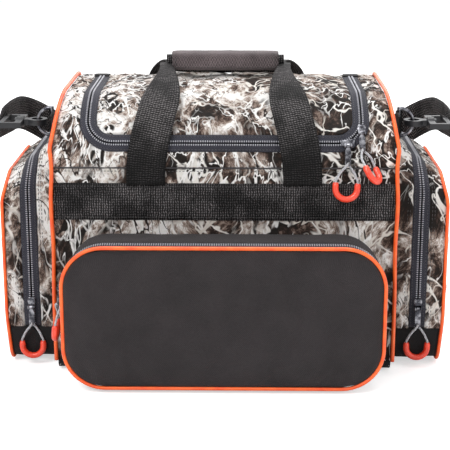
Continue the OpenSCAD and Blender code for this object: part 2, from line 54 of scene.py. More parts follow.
# %% [markdown]
# The camera stands in front of the bag and looks down a little, as in a shop picture. Its lens could be
# guessed in millimetres. It is given in pixels of a 450-pixel picture instead, because that is how it was
# measured.

# %% Camera
PIXELS = 450
FOCAL_PIXELS = 1271.0
LOOK_DOWN = math.radians(15.0)
TURN = math.radians(-0.8)
DISTANCE = 1.400
SENSOR = 36.0
SHIFT_PIXELS = -17.0
AIM = Vector((-0.0006, 0.0, 0.1475))
forward = Vector((math.sin(TURN) * math.cos(LOOK_DOWN), math.cos(TURN) * math.cos(LOOK_DOWN),
                  -math.sin(LOOK_DOWN)))
lens = bpy.data.cameras.new("bag_camera")
lens.sensor_width = SENSOR
lens.lens = SENSOR * FOCAL_PIXELS / PIXELS
lens.shift_y = SHIFT_PIXELS / PIXELS
camera = bpy.data.objects.new("bag_camera", lens)
camera.location = AIM - DISTANCE * forward
camera.rotation_euler = forward.to_track_quat("-Z", "Y").to_euler()
bpy.context.scene.collection.objects.link(camera)
bpy.context.scene.camera = camera
print("camera at", [round(c, 3) for c in camera.location])

# %% [markdown]
# Every material is a small program of nodes. A node socket is wrapped in one class, so that masks can be
# added and multiplied as ordinary numbers. All other nodes come from one method, which takes the node's type,
# its settings and the values of its sockets.

# %% Material kit
class Thread:
    """A socket in a material's tree, with the operators that masks need."""

    def __init__(self, tree, socket):
        self.tree, self.socket = tree, socket

    def put(self, target, value):
        if isinstance(value, Thread):
            self.tree.links.new(value.socket, target)
        else:
            target.default_value = value

    def node(self, kind, settings=None, out=0, **sockets):
        """A new node. A socket goes by its label, with _ for a space, or by its number after a _."""
        made = self.tree.nodes.new(kind)
        for key, value in (settings or {}).items():
            if key == "stops":
                while len(made.color_ramp.elements) < len(value):
                    made.color_ramp.elements.new(0.5)
                for element, (place, colour) in zip(made.color_ramp.elements, value):
                    element.position = place
                    element.color = colour
            else:
                setattr(made, key, value)
        for key, value in sockets.items():
            target = made.inputs[int(key[1:])] if key[0] == "_" else made.inputs[key.replace("_", " ")]
            self.put(target, value)
        return Thread(self.tree, made.outputs[out])

    def sum(self, operation, first, second):
        return self.node("ShaderNodeMath", {"operation": operation}, _0=first, _1=second)

    def __add__(self, other):
        return self.sum("ADD", self, other)

    def __radd__(self, other):
        return self.sum("ADD", other, self)

    def __sub__(self, other):
        return self.sum("SUBTRACT", self, other)

    def __rsub__(self, other):
        return self.sum("SUBTRACT", other, self)

    def __mul__(self, other):
        return self.sum("MULTIPLY", self, other)

    def __rmul__(self, other):
        return self.sum("MULTIPLY", other, self)

    def wave(self, period):
        turned = self.sum("MULTIPLY", self, 2 * math.pi / period)
        return 0.5 + 0.5 * self.node("ShaderNodeMath", {"operation": "SINE"}, _0=turned)

    def step(self, low, high):
        return self.node("ShaderNodeMapRange", {"interpolation_type": "SMOOTHSTEP"},
                         Value=self, From_Min=low, From_Max=high)


def colour(hex_code):
    """A colour written as in a paint program, turned to the linear values that nodes use."""
    parts = [int(hex_code[i:i + 2], 16) / 255 for i in (0, 2, 4)]
    return tuple(c / 12.92 if c <= 0.04045 else ((c + 0.055) / 1.055) ** 2.4 for c in parts) + (1.0,)


def finish(name, roughness, **shader):
    """A new material, with its shader node, a thread to start from and the Object coordinates."""
    material = bpy.data.materials.new(name)
    material.use_nodes = True
    shade = material.node_tree.nodes["Principled BSDF"]
    shade.inputs["Roughness"].default_value = roughness
    for key, value in shader.items():
        shade.inputs[key.replace("_", " ")].default_value = value
    start = Thread(material.node_tree, None)
    return material, shade, start, start.node("ShaderNodeTexCoord", out=3)


def mix(start, factor, first, second):
    """Two colours blended by a mask."""
    return start.node("ShaderNodeMix", {"data_type": "RGBA"}, out=2, _0=factor, _6=first, _7=second)


def tint(start, shade, mask, dark, light):
    """A base colour between two paints."""
    start.put(shade.inputs["Base Color"], mix(start, mask, colour(dark), colour(light)))


def spots(start, where, scale, detail=3.0, rough=0.55, warp=0.0):
    """Soft noise between 0 and 1."""
    return start.node("ShaderNodeTexNoise", Vector=where, Scale=scale, Detail=detail, Roughness=rough,
                      Distortion=warp)


def turned(start, where, angles, sizes):
    """Coordinates turned and then measured in strokes of these sizes, in metres."""
    return start.node("ShaderNodeMapping", {"vector_type": "TEXTURE"},
                      Vector=where, Rotation=angles, Scale=sizes)


def bump(start, shade, height, strength, distance=0.0006):
    bumped = start.node("ShaderNodeBump", Strength=strength, Distance=distance, Height=height)
    start.put(shade.inputs["Normal"], bumped)


def cloth_uv(start):
    """The piece's own cloth coordinates in metres, along and across."""
    where = start.node("ShaderNodeUVMap", {"uv_map": "weave"})
    split = start.node("ShaderNodeSeparateXYZ", _0=where)
    other = Thread(start.tree, split.socket.node.outputs[1])
    return split, other


def weave(start, pitch):
    """Height of a plain weave: over and under threads in a checker."""
    u, v = cloth_uv(start)
    a, b = u.wave(pitch), v.wave(pitch)
    return a * b + (1 - a) * (1 - b)

print("material kit ready")

# %% [markdown]
# The body cloth is a printed polyester in bark and dry-grass tones. Real prints are drawn; here the ground is
# a bent, mottled noise, and the grass is thin lines where a stretched noise crosses its middle value, laid
# several ways. Nothing repeats and nothing is copied. The weave is a fine bump that follows every fold.

# %% Printed cloth
def grass(t, where, angles, sizes, thin, patch):
    """A mask of thin wavy blades that run one way, only inside soft patches."""
    blade = spots(t, turned(t, where, angles, sizes), 1.0, 2.0, 0.5, 0.2) - 0.5
    line = 1 - t.node("ShaderNodeMath", {"operation": "ABSOLUTE"}, _0=blade).step(0.35 * thin, thin)
    return line * patch


def printed_cloth():
    material, shade, t, where = finish("printed_cloth", 0.82, Specular_IOR_Level=0.25)
    drift = t.node("ShaderNodeTexNoise", out=1, Vector=where, Scale=12.0, Detail=2.0)
    bent = t.node("ShaderNodeVectorMath", {"operation": "MULTIPLY_ADD"},
                  _0=drift, _1=(0.045, 0.045, 0.045), _2=where)
    pale = spots(t, bent, 11.0, 3.0)
    deep = spots(t, bent, 14.0, 3.0)
    bark = spots(t, turned(t, bent, (0.3, 0.2, 0.0), (0.55, 0.55, 1.0)), 17.0, 11.0, 0.80, 0.3)
    ground = bark + 0.55 * pale - 0.275
    tone = t.node("ShaderNodeValToRGB", {"stops": [
        (0.405, colour("0c0807")), (0.46, colour("2e201a")), (0.497, colour("6f5b52")),
        (0.54, colour("b3a296")), (0.595, colour("fdfaf7"))]}, Fac=ground)
    blades = [((0.25, 0.35, 0.2), (0.024, 0.024, 0.22), 0.050, deep.step(0.48, 0.56), "0d0908"),
              ((0.35, -0.3, 0.1), (0.020, 0.020, 0.22), 0.030, pale.step(0.46, 0.56), "fdfbf8"),
              ((0.1, -0.7, 0.4), (0.026, 0.026, 0.24), 0.024, (1 - pale).step(0.47, 0.55), "f6f2ec"),
              ((0.5, 0.6, 0.0), (0.022, 0.022, 0.20), 0.024, (1 - deep).step(0.50, 0.58), "e6dfd6"),
              ((0.2, 0.1, 0.3), (0.011, 0.011, 0.11), 0.030, deep.step(0.46, 0.54), "fffdfb"),
              ((0.4, -0.4, 0.0), (0.013, 0.013, 0.10), 0.022, pale.step(0.50, 0.58), "251914")]
    for angles, sizes, thin, patch, paint in blades:
        tone = mix(t, grass(t, bent, angles, sizes, thin, patch), tone, colour(paint))
    fleck = spots(t, where, 900.0, 1.0)
    tone = mix(t, 0.14 * fleck, tone, colour("5a4f47"))
    t.put(shade.inputs["Base Color"], tone)
    t.put(shade.inputs["Roughness"], 0.70 + 0.18 * ground)
    bump(t, shade, weave(t, 0.0013) + 2.5 * spots(t, where, 45.0, 4.0, 0.55, 0.8), 0.7, 0.0010)
    return material


PRINT = printed_cloth()
print("made", PRINT.name)

# %% [markdown]
# The pocket front, the base and the lining are plain nylon in near-black tones. Each has a woven bump, faint
# lighter threads and slightly rubbed high spots. One function makes them all, because only the tones and the
# weave differ.

# %% Plain cloths
def plain_cloth(name, dark, light, pitch, strength, sheen):
    material, shade, t, where = finish(name, 0.85, Sheen_Weight=sheen, Specular_IOR_Level=0.3)
    cross = weave(t, pitch)
    cloud = spots(t, where, 22.0, 4.0, 0.6)
    fleck = spots(t, where, 700.0, 1.0)
    mask = 0.40 * cross + 0.75 * cloud + 0.35 * fleck - 0.42
    tint(t, shade, mask, dark, light)
    t.put(shade.inputs["Roughness"], 0.78 + 0.16 * cloud)
    bump(t, shade, cross + 0.8 * fleck, strength)
    return material


CHARCOAL = plain_cloth("charcoal_cloth", "1c191a", "433d3f", 0.0020, 0.9, 0.06)
BASE_CLOTH = plain_cloth("base_cloth", "0c0b0c", "262425", 0.0020, 0.8, 0.05)
LINING = plain_cloth("lining_cloth", "3c3c40", "5a5a5e", 0.0014, 0.4, 0.2)
TAPE = plain_cloth("zip_tape_cloth", "1e1e25", "4c4c57", 0.0024, 0.8, 0.08)
WRAP = plain_cloth("grip_cloth", "261f20", "988a8c", 0.0028, 1.0, 0.1)
print("plain cloths made")

# %% [markdown]
# Webbing is woven in ribs: fine cords run along it, and the picks of the weft cross them. Both are waves in
# the ribbon's own coordinates, so that they follow it where it bends, and a noise makes them a little uneven.
# Rubbed webbing is lighter, and painted shade darkens the handles' legs at their feet.

# %% Webbing, piping and threads
def webbing(name, painted_shade_at_foot=0.0):
    """The second argument: how far the first stretch is darkened with painted shade, at a handle leg's foot."""
    material, shade, t, where = finish(name, 0.66, Specular_IOR_Level=0.15)
    u, v = cloth_uv(t)
    stray = 0.0030 * spots(t, where, 260.0, 2.0)
    rib = (u + stray).wave(0.0023)
    pick = (v + stray).wave(0.0024)
    wear = spots(t, where, 40.0, 4.0).step(0.30, 0.70)
    thread = (0.3 * rib + 0.7 * pick).step(0.52, 1.0)
    mask = thread * (0.28 + 1.1 * wear) + 0.08 * wear
    # Painted shade: the first few centimetres along the webbing, at the foot of a handle's leg, are darkened.
    if painted_shade_at_foot:
        mask = mask * (1 - painted_shade_at_foot * (1 - v.step(0.028, 0.064)))
    tint(t, shade, mask, "020202", "7c7879")
    t.put(shade.inputs["Roughness"], 0.60 + 0.2 * wear)
    bump(t, shade, rib * pick, 0.9, 0.0010)
    return material


def bright(name, paint, shadow, roughness, pitch, strength, coat):
    """Saturated piping cloth and moulded grips: a clear colour with small unevenness."""
    material, shade, t, where = finish(name, roughness, Coat_Weight=coat, Coat_Roughness=0.3)
    _, v = cloth_uv(t)
    cloud = spots(t, where, 70.0, 4.0)
    tint(t, shade, cloud.step(0.35, 0.75), paint, shadow)
    t.put(shade.inputs["Roughness"], roughness - 0.08 + 0.2 * cloud)
    bump(t, shade, v.wave(pitch) + 1.2 * spots(t, where, 260.0, 2.0), strength, 0.0004)
    return material


def twisted(name, dark, light, pitch):
    """Cord and sewing thread: strands that wind round."""
    material, shade, t, where = finish(name, 0.7, Sheen_Weight=0.2)
    u, v = cloth_uv(t)
    strand = (v + 0.6 * u).wave(pitch)
    cross = (v - 0.6 * u).wave(pitch)
    mask = 0.55 * strand * cross + 0.5 * spots(t, where, 300.0, 2.0)
    tint(t, shade, mask, dark, light)
    bump(t, shade, strand + cross, 0.7, 0.0004)
    return material


WEBBING = webbing("black_webbing")
# The handles' webbing carries painted shade at the foot of each leg.
HANDLE_WEBBING_SHADED_FOOT = webbing("handle_webbing", 0.8)
PIPING = bright("orange_piping", "ff6c26", "f24c16", 0.34, 0.0016, 0.35, 0.2)
GRIP_RUBBER = bright("red_grip_rubber", "f8492c", "e63616", 0.34, 0.0030, 0.25, 0.5)
CORD = twisted("grey_cord", "8f9096", "d5d5d8", 0.0032)
THREAD = twisted("dark_thread", "2a2628", "4a4648", 0.0012)
print("webbing, piping and threads made")

# %% [markdown]
# Sliders and tabs are cast metal with a dark plating that is rubbed bright in places. Hooks and frames are
# moulded black plastic with a fine grain. The zip's coil is a smooth filament whose pale tones are a painted
# highlight.

# %% Metal and plastic
def plated_metal(name, dark, light):
    material, shade, t, where = finish(name, 0.34, Metallic=1.0)
    rub = spots(t, where, 150.0, 5.0, 0.65)
    tint(t, shade, rub.step(0.40, 0.68), dark, light)
    t.put(shade.inputs["Roughness"], 0.16 + 0.24 * rub)
    bump(t, shade, rub + 0.3 * spots(t, where, 900.0, 2.0), 0.12, 0.0003)
    return material


def moulded(name, dark, light, roughness):
    material, shade, t, where = finish(name, roughness)
    grain = spots(t, where, 1500.0, 2.0)
    cloud = spots(t, where, 60.0, 3.0)
    tint(t, shade, 0.7 * cloud + 0.2 * grain, dark, light)
    t.put(shade.inputs["Roughness"], roughness - 0.08 + 0.2 * cloud)
    bump(t, shade, grain, 0.3, 0.0003)
    return material


PLATED = plated_metal("plated_metal", "3e3e44", "a2a2a8")
PLASTIC = moulded("moulded_plastic", "141416", "2c2c30", 0.42)
# Painted highlight: the coil's pale tones stand in for the shine along its teeth.
COIL_PAINTED_HIGHLIGHT = moulded("coil_painted_highlight", "74747c", "d2d2d8", 0.28)
BOARD = moulded("grey_board", "3a3a3c", "505052", 0.75)
print("metal and plastic made")

# %% [markdown]
# Soft pieces start as a flat grid, like cloth on a cutting table. Each point is then moved to its place on
# the bag, and the grid keeps its flat size as cloth coordinates for the weave. Faces are turned to look away
# from the inside of the bag, and a Solidify modifier adds the cloth's thickness on the inner side. The large
# panels are also held at their seams and filled by Blender's Cloth, because sewn cloth never lies quite flat.

# %% Cloth on a cutting table
BAG_MIDDLE = Vector((0.0, 0.0, 140.0))
FILL_FRAMES = 20


def even(first, last, count):
    """Numbers from first to last in count equal steps."""
    return [first + (last - first) * i / count for i in range(count + 1)]


def run_length(line):
    return sum((b - a).length for a, b in zip(line, line[1:]))


def spread(name, across, along, place, inside=BAG_MIDDLE, cap=False):
    """A grid of cells moved to place(u, v), which gives millimetres for u and v from 0 to 1."""
    bm = bmesh.new()
    uv = bm.loops.layers.uv.new("weave")
    bmesh.ops.create_grid(bm, x_segments=across, y_segments=along, size=0.5)
    flat = {v: (v.co.x + 0.5, v.co.y + 0.5) for v in bm.verts}
    ticks = even(0, 1, 24)
    wide = run_length([Vector(place(k, 0.5)) for k in ticks])
    long = run_length([Vector(place(0.5, k)) for k in ticks])
    for face in bm.faces:
        for loop in face.loops:
            u, v = flat[loop.vert]
            loop[uv].uv = (u * wide * MM, v * long * MM)
    for vert, (u, v) in flat.items():
        vert.co = Vector(place(u, v))
    bmesh.ops.remove_doubles(bm, verts=bm.verts, dist=0.01)
    if cap:
        bmesh.ops.holes_fill(bm, edges=[e for e in bm.edges if e.is_boundary], sides=0)
    bmesh.ops.recalc_face_normals(bm, faces=bm.faces)
    if inside is not None:
        outward = [(f.calc_center_median() - inside).dot(f.normal) * f.calc_area() for f in bm.faces]
        if sum(outward) < 0:
            bmesh.ops.reverse_faces(bm, faces=bm.faces)
    return keep(name, bm)


def keep(name, bm):
    """A finished bmesh in millimetres becomes an object in metres at the origin."""
    bmesh.ops.scale(bm, vec=(MM, MM, MM), verts=bm.verts)
    for face in bm.faces:
        face.smooth = True
    mesh = bpy.data.meshes.new(name)
    bm.to_mesh(mesh)
    bm.free()
    obj = bpy.data.objects.new(name, mesh)
    bpy.context.scene.collection.objects.link(obj)
    return obj


def thick(obj, millimetres):
    wall = obj.modifiers.new("cloth_thickness", "SOLIDIFY")
    wall.thickness = millimetres * MM
    wall.offset = -1.0
    if len(obj.data.materials) > 1:
        wall.material_offset = 1


def dress(obj, body, nodes, paint, lining=None, blend=None):
    """The piece's material, the body that it moves with, and the solids that it stands for."""
    for material in (paint, lining):
        if material is not None:
            obj.data.materials.append(material)
    if blend is None:
        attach(obj, body)
    else:
        [c * MM for c in blend[1]]
        [c * MM for c in blend[2]]
        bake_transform(obj)
    if nodes:
        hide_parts(*nodes)
    return obj


def settle(obj, pressure, growth, most, sewn=None):
    """Blender's Cloth on a panel that is held at its edge and where sewn(point in mm) is true.

    growth is the share of spare cloth, and most is how far a point may move in mm.
    """
    bm = bmesh.new()
    bm.from_mesh(obj.data)
    held = [v.index for v in bm.verts if v.is_boundary or (sewn and sewn(v.co / MM))]
    bm.free()
    obj.vertex_groups.new(name="seams").add(held, 1.0, "REPLACE")
    cloth = obj.modifiers.new("fill", "CLOTH")
    cloth.point_cache.frame_end = FILL_FRAMES
    rules = cloth.settings
    rules.quality, rules.mass, rules.vertex_group_mass = 6, 0.2, "seams"
    rules.tension_stiffness, rules.compression_stiffness, rules.shear_stiffness = 30.0, 30.0, 8.0
    rules.bending_stiffness, rules.air_damping = 0.15, 4.0
    rules.use_pressure, rules.uniform_pressure_force = True, pressure
    rules.shrink_min = -growth
    rules.effector_weights.gravity = 0.0
    for moment in range(1, FILL_FRAMES + 1):
        bpy.context.scene.frame_set(moment)
    filled = obj.evaluated_get(bpy.context.evaluated_depsgraph_get()).data
    steps = [new.co - old.co for new, old in zip(filled.vertices, obj.data.vertices)]
    obj.modifiers.remove(cloth)
    for vert, step in zip(obj.data.vertices, steps):
        vert.co += step * min(1.0, most * MM / max(step.length, 1e-9))
    obj.vertex_groups.clear()
    bpy.context.scene.frame_set(1)
    moved = min(most, max(step.length for step in steps) / MM)
    print(obj.name, "settled by up to", round(moved, 1), "mm")
    return obj


def rumple(p, seed, size=30.0):
    """Uneven cloth: a height in millimetres at a point, the same each run."""
    q = Vector((p[0] / size + seed * 7.3, p[1] / size - seed * 3.1, p[2] / size + seed))
    fold = 1.0 - abs(noise.noise(q * 0.9))
    return 0.9 * noise.noise(q * 2.1) + 2.2 * (fold ** 4 - 0.45)

print("cutting table ready")

# %% [markdown]
# The front, top and back of the bag are one long developed strip. A point on it has x across the bag and s up
# the front, over the rounded top and down the back. One function wraps it on the body's profile, so that the
# panels, the zip and the seams all share the same sheet.

# %% The body's profile
HALF_D, TOP_Z, LOW_Z = 108.0, 284.0, 12.0
FRONT_Y, FRONT_Z, FRONT_R = -38.0, 214.0, 70.0
REAR_Y, REAR_Z, REAR_R = 63.0, 239.0, 45.0
END_X, PANEL_X, LEAN_X = 178.0, 174.0, 140.0
S_FRONT = FRONT_Z - LOW_Z
S_CROWN = S_FRONT + FRONT_R * math.pi / 2
S_BACK = S_CROWN + REAR_Y - FRONT_Y
S_DOWN = S_BACK + REAR_R * math.pi / 2
S_END = S_DOWN + REAR_Z - LOW_Z


def profile(s):
    """Point and outward direction on the body's profile at the length s."""
    if s <= S_FRONT:
        return Vector((0, -HALF_D, LOW_Z + s)), Vector((0, -1, 0))
    if s <= S_CROWN:
        a = (s - S_FRONT) / FRONT_R
        out = Vector((0, -math.cos(a), math.sin(a)))
        return Vector((0, FRONT_Y, FRONT_Z)) + FRONT_R * out, out
    if s <= S_BACK:
        return Vector((0, FRONT_Y + s - S_CROWN, TOP_Z)), Vector((0, 0, 1))
    if s <= S_DOWN:
        a = (s - S_BACK) / REAR_R
        out = Vector((0, math.sin(a), math.cos(a)))
        return Vector((0, REAR_Y, REAR_Z)) + REAR_R * out, out
    return Vector((0, HALF_D, REAR_Z - (s - S_DOWN))), Vector((0, 1, 0))


def smooth(low, high, value):
    k = min(1.0, max(0.0, (value - low) / (high - low)))
    return k * k * (3 - 2 * k)


def lean(s):
    """How far the soft ends lean in: most over the top, with a little bulge above the band."""
    slump = 9.0 * smooth(S_FRONT - 10, S_CROWN, s) * (1 - smooth(S_BACK, S_DOWN + 60, s))
    return slump - 2.2 * math.exp(-((s - S_FRONT - 8) / 24) ** 2) + 1.2 * math.exp(-((s - 120) / 30) ** 2)


def wrap(x, s, out=0.0):
    """A point of the developed strip on the bag, lifted by out."""
    point, away = profile(s)
    edge = smooth(LEAN_X, PANEL_X, abs(x))
    moved = point + out * away
    moved.x = x - math.copysign(lean(s) * edge, x)
    return moved


def seam_fall(k):
    """Puffed between two seams: 0 at both, 1 in the middle."""
    return 1 - (2 * k - 1) ** 4

print("profile is", round(S_END, 1), "mm long")

# %% [markdown]
# The zip of the lid runs round three sides as a U with rounded corners. Every piece near it is measured from
# that line: off is the distance outside it, and t runs from the left fold to the right fold.

# %% The lid's zip line
ZIP_X, ZIP_R, ZIP_TURN = 138.0, 25.0, 23.58
ZIP_S, FOLD_S = S_FRONT + FRONT_R * math.radians(ZIP_TURN), S_CROWN + 100.0
RUN = FOLD_S - ZIP_S - ZIP_R
ARC = ZIP_R * math.pi / 2
ACROSS = 2 * (ZIP_X - ZIP_R)
ZIP_LENGTH = 2 * RUN + 2 * ARC + ACROSS


def zip_line(t, off):
    """x and s of the U, and the part of it: run, corner or front, with the share along that part."""
    d = t * ZIP_LENGTH
    mirror = 1.0
    if d > ZIP_LENGTH / 2:
        d, mirror = ZIP_LENGTH - d, -1.0
    if d < RUN:
        return mirror * -(ZIP_X + off), FOLD_S - d, "run", d / RUN, mirror
    if d < RUN + ARC:
        k = (d - RUN) / ARC
        a = k * math.pi / 2
        r = ZIP_R + off
        x, s = ZIP_X - ZIP_R + r * math.cos(a), ZIP_S + ZIP_R - r * math.sin(a)
        return mirror * -x, s, "corner", k, mirror
    k = (d - RUN - ARC) / (ACROSS / 2)
    return mirror * -(ZIP_X - ZIP_R) * (1 - k), ZIP_S - off, "front", k, mirror


def lid_surface(t, off, lift):
    x, s, *_ = zip_line(t, off)
    return wrap(x, s, lift)

print("lid zip is", round(ZIP_LENGTH), "mm long")

# %% [markdown]
# The cloth of the body is sewn from a front panel, a border round the zip, a back panel and two ends. The
# border is ruled from the zip's edge to the end seams and to the seam over the band. It puffs between its
# seams.

# %% Front, border and back
SEAM_S = 206.0
TAPE_EDGE = 8.4


def front_panel(u, v):
    x, s = PANEL_X * (2 * u - 1), SEAM_S * v
    return wrap(x, s, 0.8 * seam_fall(v) + 0.5 * rumple((x, s, 0), 1))


def border(u, v):
    x0, s0, part, k, mirror = zip_line(u, TAPE_EDGE)
    if part == "run":
        x1, s1 = -mirror * PANEL_X, s0
    elif part == "corner":
        turn = ZIP_S + ZIP_R
        x1 = -mirror * (PANEL_X if k < 0.5 else PANEL_X + (2 * k - 1) * (ZIP_X - ZIP_R - PANEL_X))
        s1 = turn + min(1.0, 2 * k) * (SEAM_S - turn)
    else:
        x1, s1 = x0, SEAM_S
    x, s = x0 + (x1 - x0) * v, s0 + (s1 - s0) * v
    lift = 2.2 * seam_fall(v) + 0.8 * rumple((x, s, 0), 2, 22.0) * min(1.0, 6 * v, 6 * (1 - v))
    return wrap(x, s, lift)


def back_panel(u, v):
    x, s = PANEL_X * (2 * u - 1), FOLD_S + 1.0 + (S_END - FOLD_S - 1.0) * v
    return wrap(x, s, 0.9 * seam_fall(v) + 0.6 * rumple((x, s, 0), 3))


def under_band(p):
    """Cloth that lies flat under the bands, the legs of the handles and the front pocket."""
    on_band, on_leg = 160 < p.z < 206, 58 < abs(p.x) < 100
    behind_pocket = p.y < 0 and p.z < 150 and abs(p.x) < 156
    return on_band or on_leg or behind_pocket


for name, across, along, place, node in (
        ("front_cloth", 70, 42, front_panel, "body_front_panel"),
        ("border_cloth", 150, 10, border, "top_border"),
        ("back_cloth", 70, 60, back_panel, "body_back_panel")):
    piece = settle(spread(name, across, along, place), 1.5, 0.03, 4.0, under_band)
    thick(dress(piece, "body", [node], PRINT, LINING), 2.5)
print("body cloth made")

# %% [markdown]
# Tubes and ribbons are swept: a closed section is carried along a path and turned with it. The same helper
# makes piping, webbing, cords and moulded grips. Its cloth coordinates run round the section and along the
# path.

# %% Sweeping
def swept(name, path, sides, section, cap=True):
    """A section carried along path, whose points are in mm.

    sides: the section's first direction, one for all or one for each point. section(j): its (a, b) corners.
    """
    path = [Vector(p) for p in path]
    rings = []
    for j, p in enumerate(path):
        run = (path[min(j + 1, len(path) - 1)] - path[max(j - 1, 0)]).normalized()
        side = Vector(sides[j] if isinstance(sides, list) else sides)
        side = (side - side.dot(run) * run).normalized()
        up = run.cross(side)
        rings.append([p + a * side + b * up for a, b in section(j)])
    count = len(rings[0])

    def place(u, v):
        i, j = round(u * count) % count, round(v * (len(rings) - 1))
        return rings[j][i]

    obj = spread(name, count, len(rings) - 1, place, None, cap)
    rescale(obj, run_length(rings[0] + rings[0][:1]), run_length(path))
    return obj


def rescale(obj, around, long):
    """Cloth coordinates of a swept piece, set to its true lengths."""
    data = obj.data.uv_layers["weave"].data
    top = [max(loop.uv[k] for loop in data) or 1.0 for k in (0, 1)]
    for loop in data:
        loop.uv = (loop.uv[0] / top[0] * around * MM, loop.uv[1] / top[1] * long * MM)


def circle(count):
    """Points round a circle of radius 1."""
    return [(math.cos(a), math.sin(a)) for a in even(0, 2 * math.pi, count)[:-1]]


def ring(radius, count=10):
    """A round section."""
    corners = [(radius * c, radius * s) for c, s in circle(count)]
    return lambda j: corners


def flat(width, deep):
    """A ribbon's section: flat, with rounded edges and a slight crown. width may be a list along the path."""
    def corners(j):
        w, h = (width[j] if isinstance(width, list) else width) / 2, deep / 2
        top = [(w * k, h * (1.0 - 0.15 * k * k)) for k in (1.0, 0.75, 0.5, 0.25, 0, -0.25, -0.5, -0.75, -1.0)]
        return [(w + h * 0.6, 0.0)] + top + [(-w - h * 0.6, 0.0)] + [(a, -b) for a, b in reversed(top)]
    return corners


def curve(points, count):
    """A smooth line through points, count steps between each two."""
    p = [Vector(q) for q in points]
    line = []
    for i in range(len(p) - 1):
        a, b, c, d = p[max(i - 1, 0)], p[i], p[i + 1], p[min(i + 2, len(p) - 1)]
        for k in range(count):
            x = k / count
            line.append(0.5 * (2 * b + (c - a) * x + (2 * a - 5 * b + 4 * c - d) * x * x
                               + (3 * b - a - 3 * c + d) * x ** 3))
    return line + [p[-1]]


def bend(a, b, c, d, count):
    """A curve from a to d that leaves towards b and arrives from c."""
    a, b, c, d = (Vector(q) for q in (a, b, c, d))
    return [(1 - k) ** 3 * a + 3 * (1 - k) ** 2 * k * b + 3 * (1 - k) * k * k * c + k ** 3 * d
            for k in even(0, 1, count)]

print("sweeping ready")

# %% [markdown]
# Stitches and zip teeth are small beads set at even steps along a line. One bead has only a few faces,
# because there are hundreds of them, and all the beads of one seam are one piece.

# %% Beads along a line
def bead():
    """The small round shape that every stitch and tooth is scaled from."""
    bm = bmesh.new()
    bm.loops.layers.uv.new("weave")
    bmesh.ops.create_uvsphere(bm, u_segments=6, v_segments=4, radius=0.5,
                              matrix=Matrix.Rotation(math.pi / 2, 4, "Y"), calc_uvs=True)
    mesh = bpy.data.meshes.new("bead")
    bm.to_mesh(mesh)
    bm.free()
    return mesh


BEAD = bead()


def beads(name, lines, pitch, size):
    """lines: lists of (point, outward). size: a bead's length, width and height in mm."""
    bm = bmesh.new()
    for line in lines:
        left = pitch / 2
        for (p, out), (q, _) in zip(line, line[1:]):
            step = (q - p).length
            while left < step:
                run = (q - p).normalized()
                side = out.cross(run).normalized()
                up = run.cross(side)
                turn = Matrix((run, side, up)).transposed().to_4x4()
                place = Matrix.Translation(p + run * left + up * size[2] * 0.1) @ turn
                place = place @ Matrix.Diagonal((size[0], size[1], size[2], 1.0))
                BEAD.transform(place)
                bm.from_mesh(BEAD)
                BEAD.transform(place.inverted())
                left += pitch
            left -= step
    return keep(name, bm)


def stitches(name, lines, pitch, size, body):
    dress(beads(name, lines, pitch, size), body, (), THREAD)

print("beads ready")

# %% [markdown]
# The two ends are panels between the piped seams. The piping is a bright cloth tube that runs up the front,
# over the top and down the back, and it leans in a little over the top as the soft ends do. An end could be
# one flat face. It is a grid drawn in from its edge to its middle, so that it can swell and lie unevenly.

# %% Ends, base and piping
SIDES = ((-1, "left"), (1, "right"))
BASE_Y, BASE_R = 96.0, 12.0


def repaint(node, paint):
    """A new finish for a solid that keeps its shape."""
    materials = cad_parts[node].data.materials
    materials.clear()
    materials.append(paint)


def underside(k, share):
    """y and z under the bag from front to back. share is the part of k that each rounded edge takes."""
    edge = min(k, 1 - k)
    if edge < share:
        a = edge / share * math.pi / 2
        return math.copysign(BASE_Y + BASE_R * math.cos(a), k - 0.5), BASE_R - BASE_R * math.sin(a)
    return -BASE_Y + 2 * BASE_Y * (k - share) / (1 - 2 * share), 0.0


def end_edge(side, k):
    """The edge of an end panel: over the bag, then under the base."""
    if k < 0.85:
        return wrap(side * PANEL_X, S_END * k / 0.85)
    return Vector((side * PANEL_X, *underside(1 - (k - 0.85) / 0.15, 0.15)))


for side, word in SIDES:
    def end_panel(u, v):
        edge = end_edge(side, u)
        middle = Vector((side * (PANEL_X + 1.5), 0.0, 130.0))
        p = edge + (middle - edge) * v
        p.x += side * (2.5 * smooth(0.0, 0.3, v) + 0.4 * rumple((p.y, p.z, 0), 4 + side))
        return p

    piece = dress(spread(word + "_end_cloth", 120, 12, end_panel), "body",
                  [word + "_end_panel"], PRINT, LINING)
    thick(piece, 2.5)
    line = [wrap(side * 175.5, s, 2.4) for s in even(0, S_END, 150)]
    piece = swept(word + "_end_piping", line, (1, 0, 0), ring(2.1))
    dress(piece, "body", ["end_piping"], PIPING)


def base(u, v):
    return Vector((PANEL_X * (2 * u - 1), *underside(v, 0.06)))


piece = spread("base_cloth_panel", 40, 50, base)
thick(dress(piece, "body", ["base_panel"], BASE_CLOTH), 3.0)
repaint("base_board", BOARD)
across = even(-PANEL_X, PANEL_X, 90)
line = [wrap(x, SEAM_S, 0.4) for x in across]
dress(swept("front_seam", line, (0, 0, 1), ring(0.8, 6)), "body", [], THREAD)
rows = [[(wrap(x, SEAM_S - 3.2, 1.3), Vector((0, -1, 0))) for x in across]]
stitches("front_seam_stitches", rows, 3.6, (2.6, 0.7, 0.6), "body")
print("ends, base and piping made")

# %% [markdown]
# The lid is the padded top inside the zip. Its rows are shorter where the zip's corners are rounded, and it
# is fullest in the middle. Cloth fills it further, because a padded lid pushes up between its seams.

# %% Lid
LID_S = ZIP_S + TAPE_EDGE
LID_R = ZIP_R - TAPE_EDGE


def row_half(half, radius, from_edge):
    """Half width of a row that lies from_edge inside a rounded end."""
    if from_edge >= radius:
        return half
    return half - radius + math.sqrt(max(0.0, radius ** 2 - (radius - from_edge) ** 2))


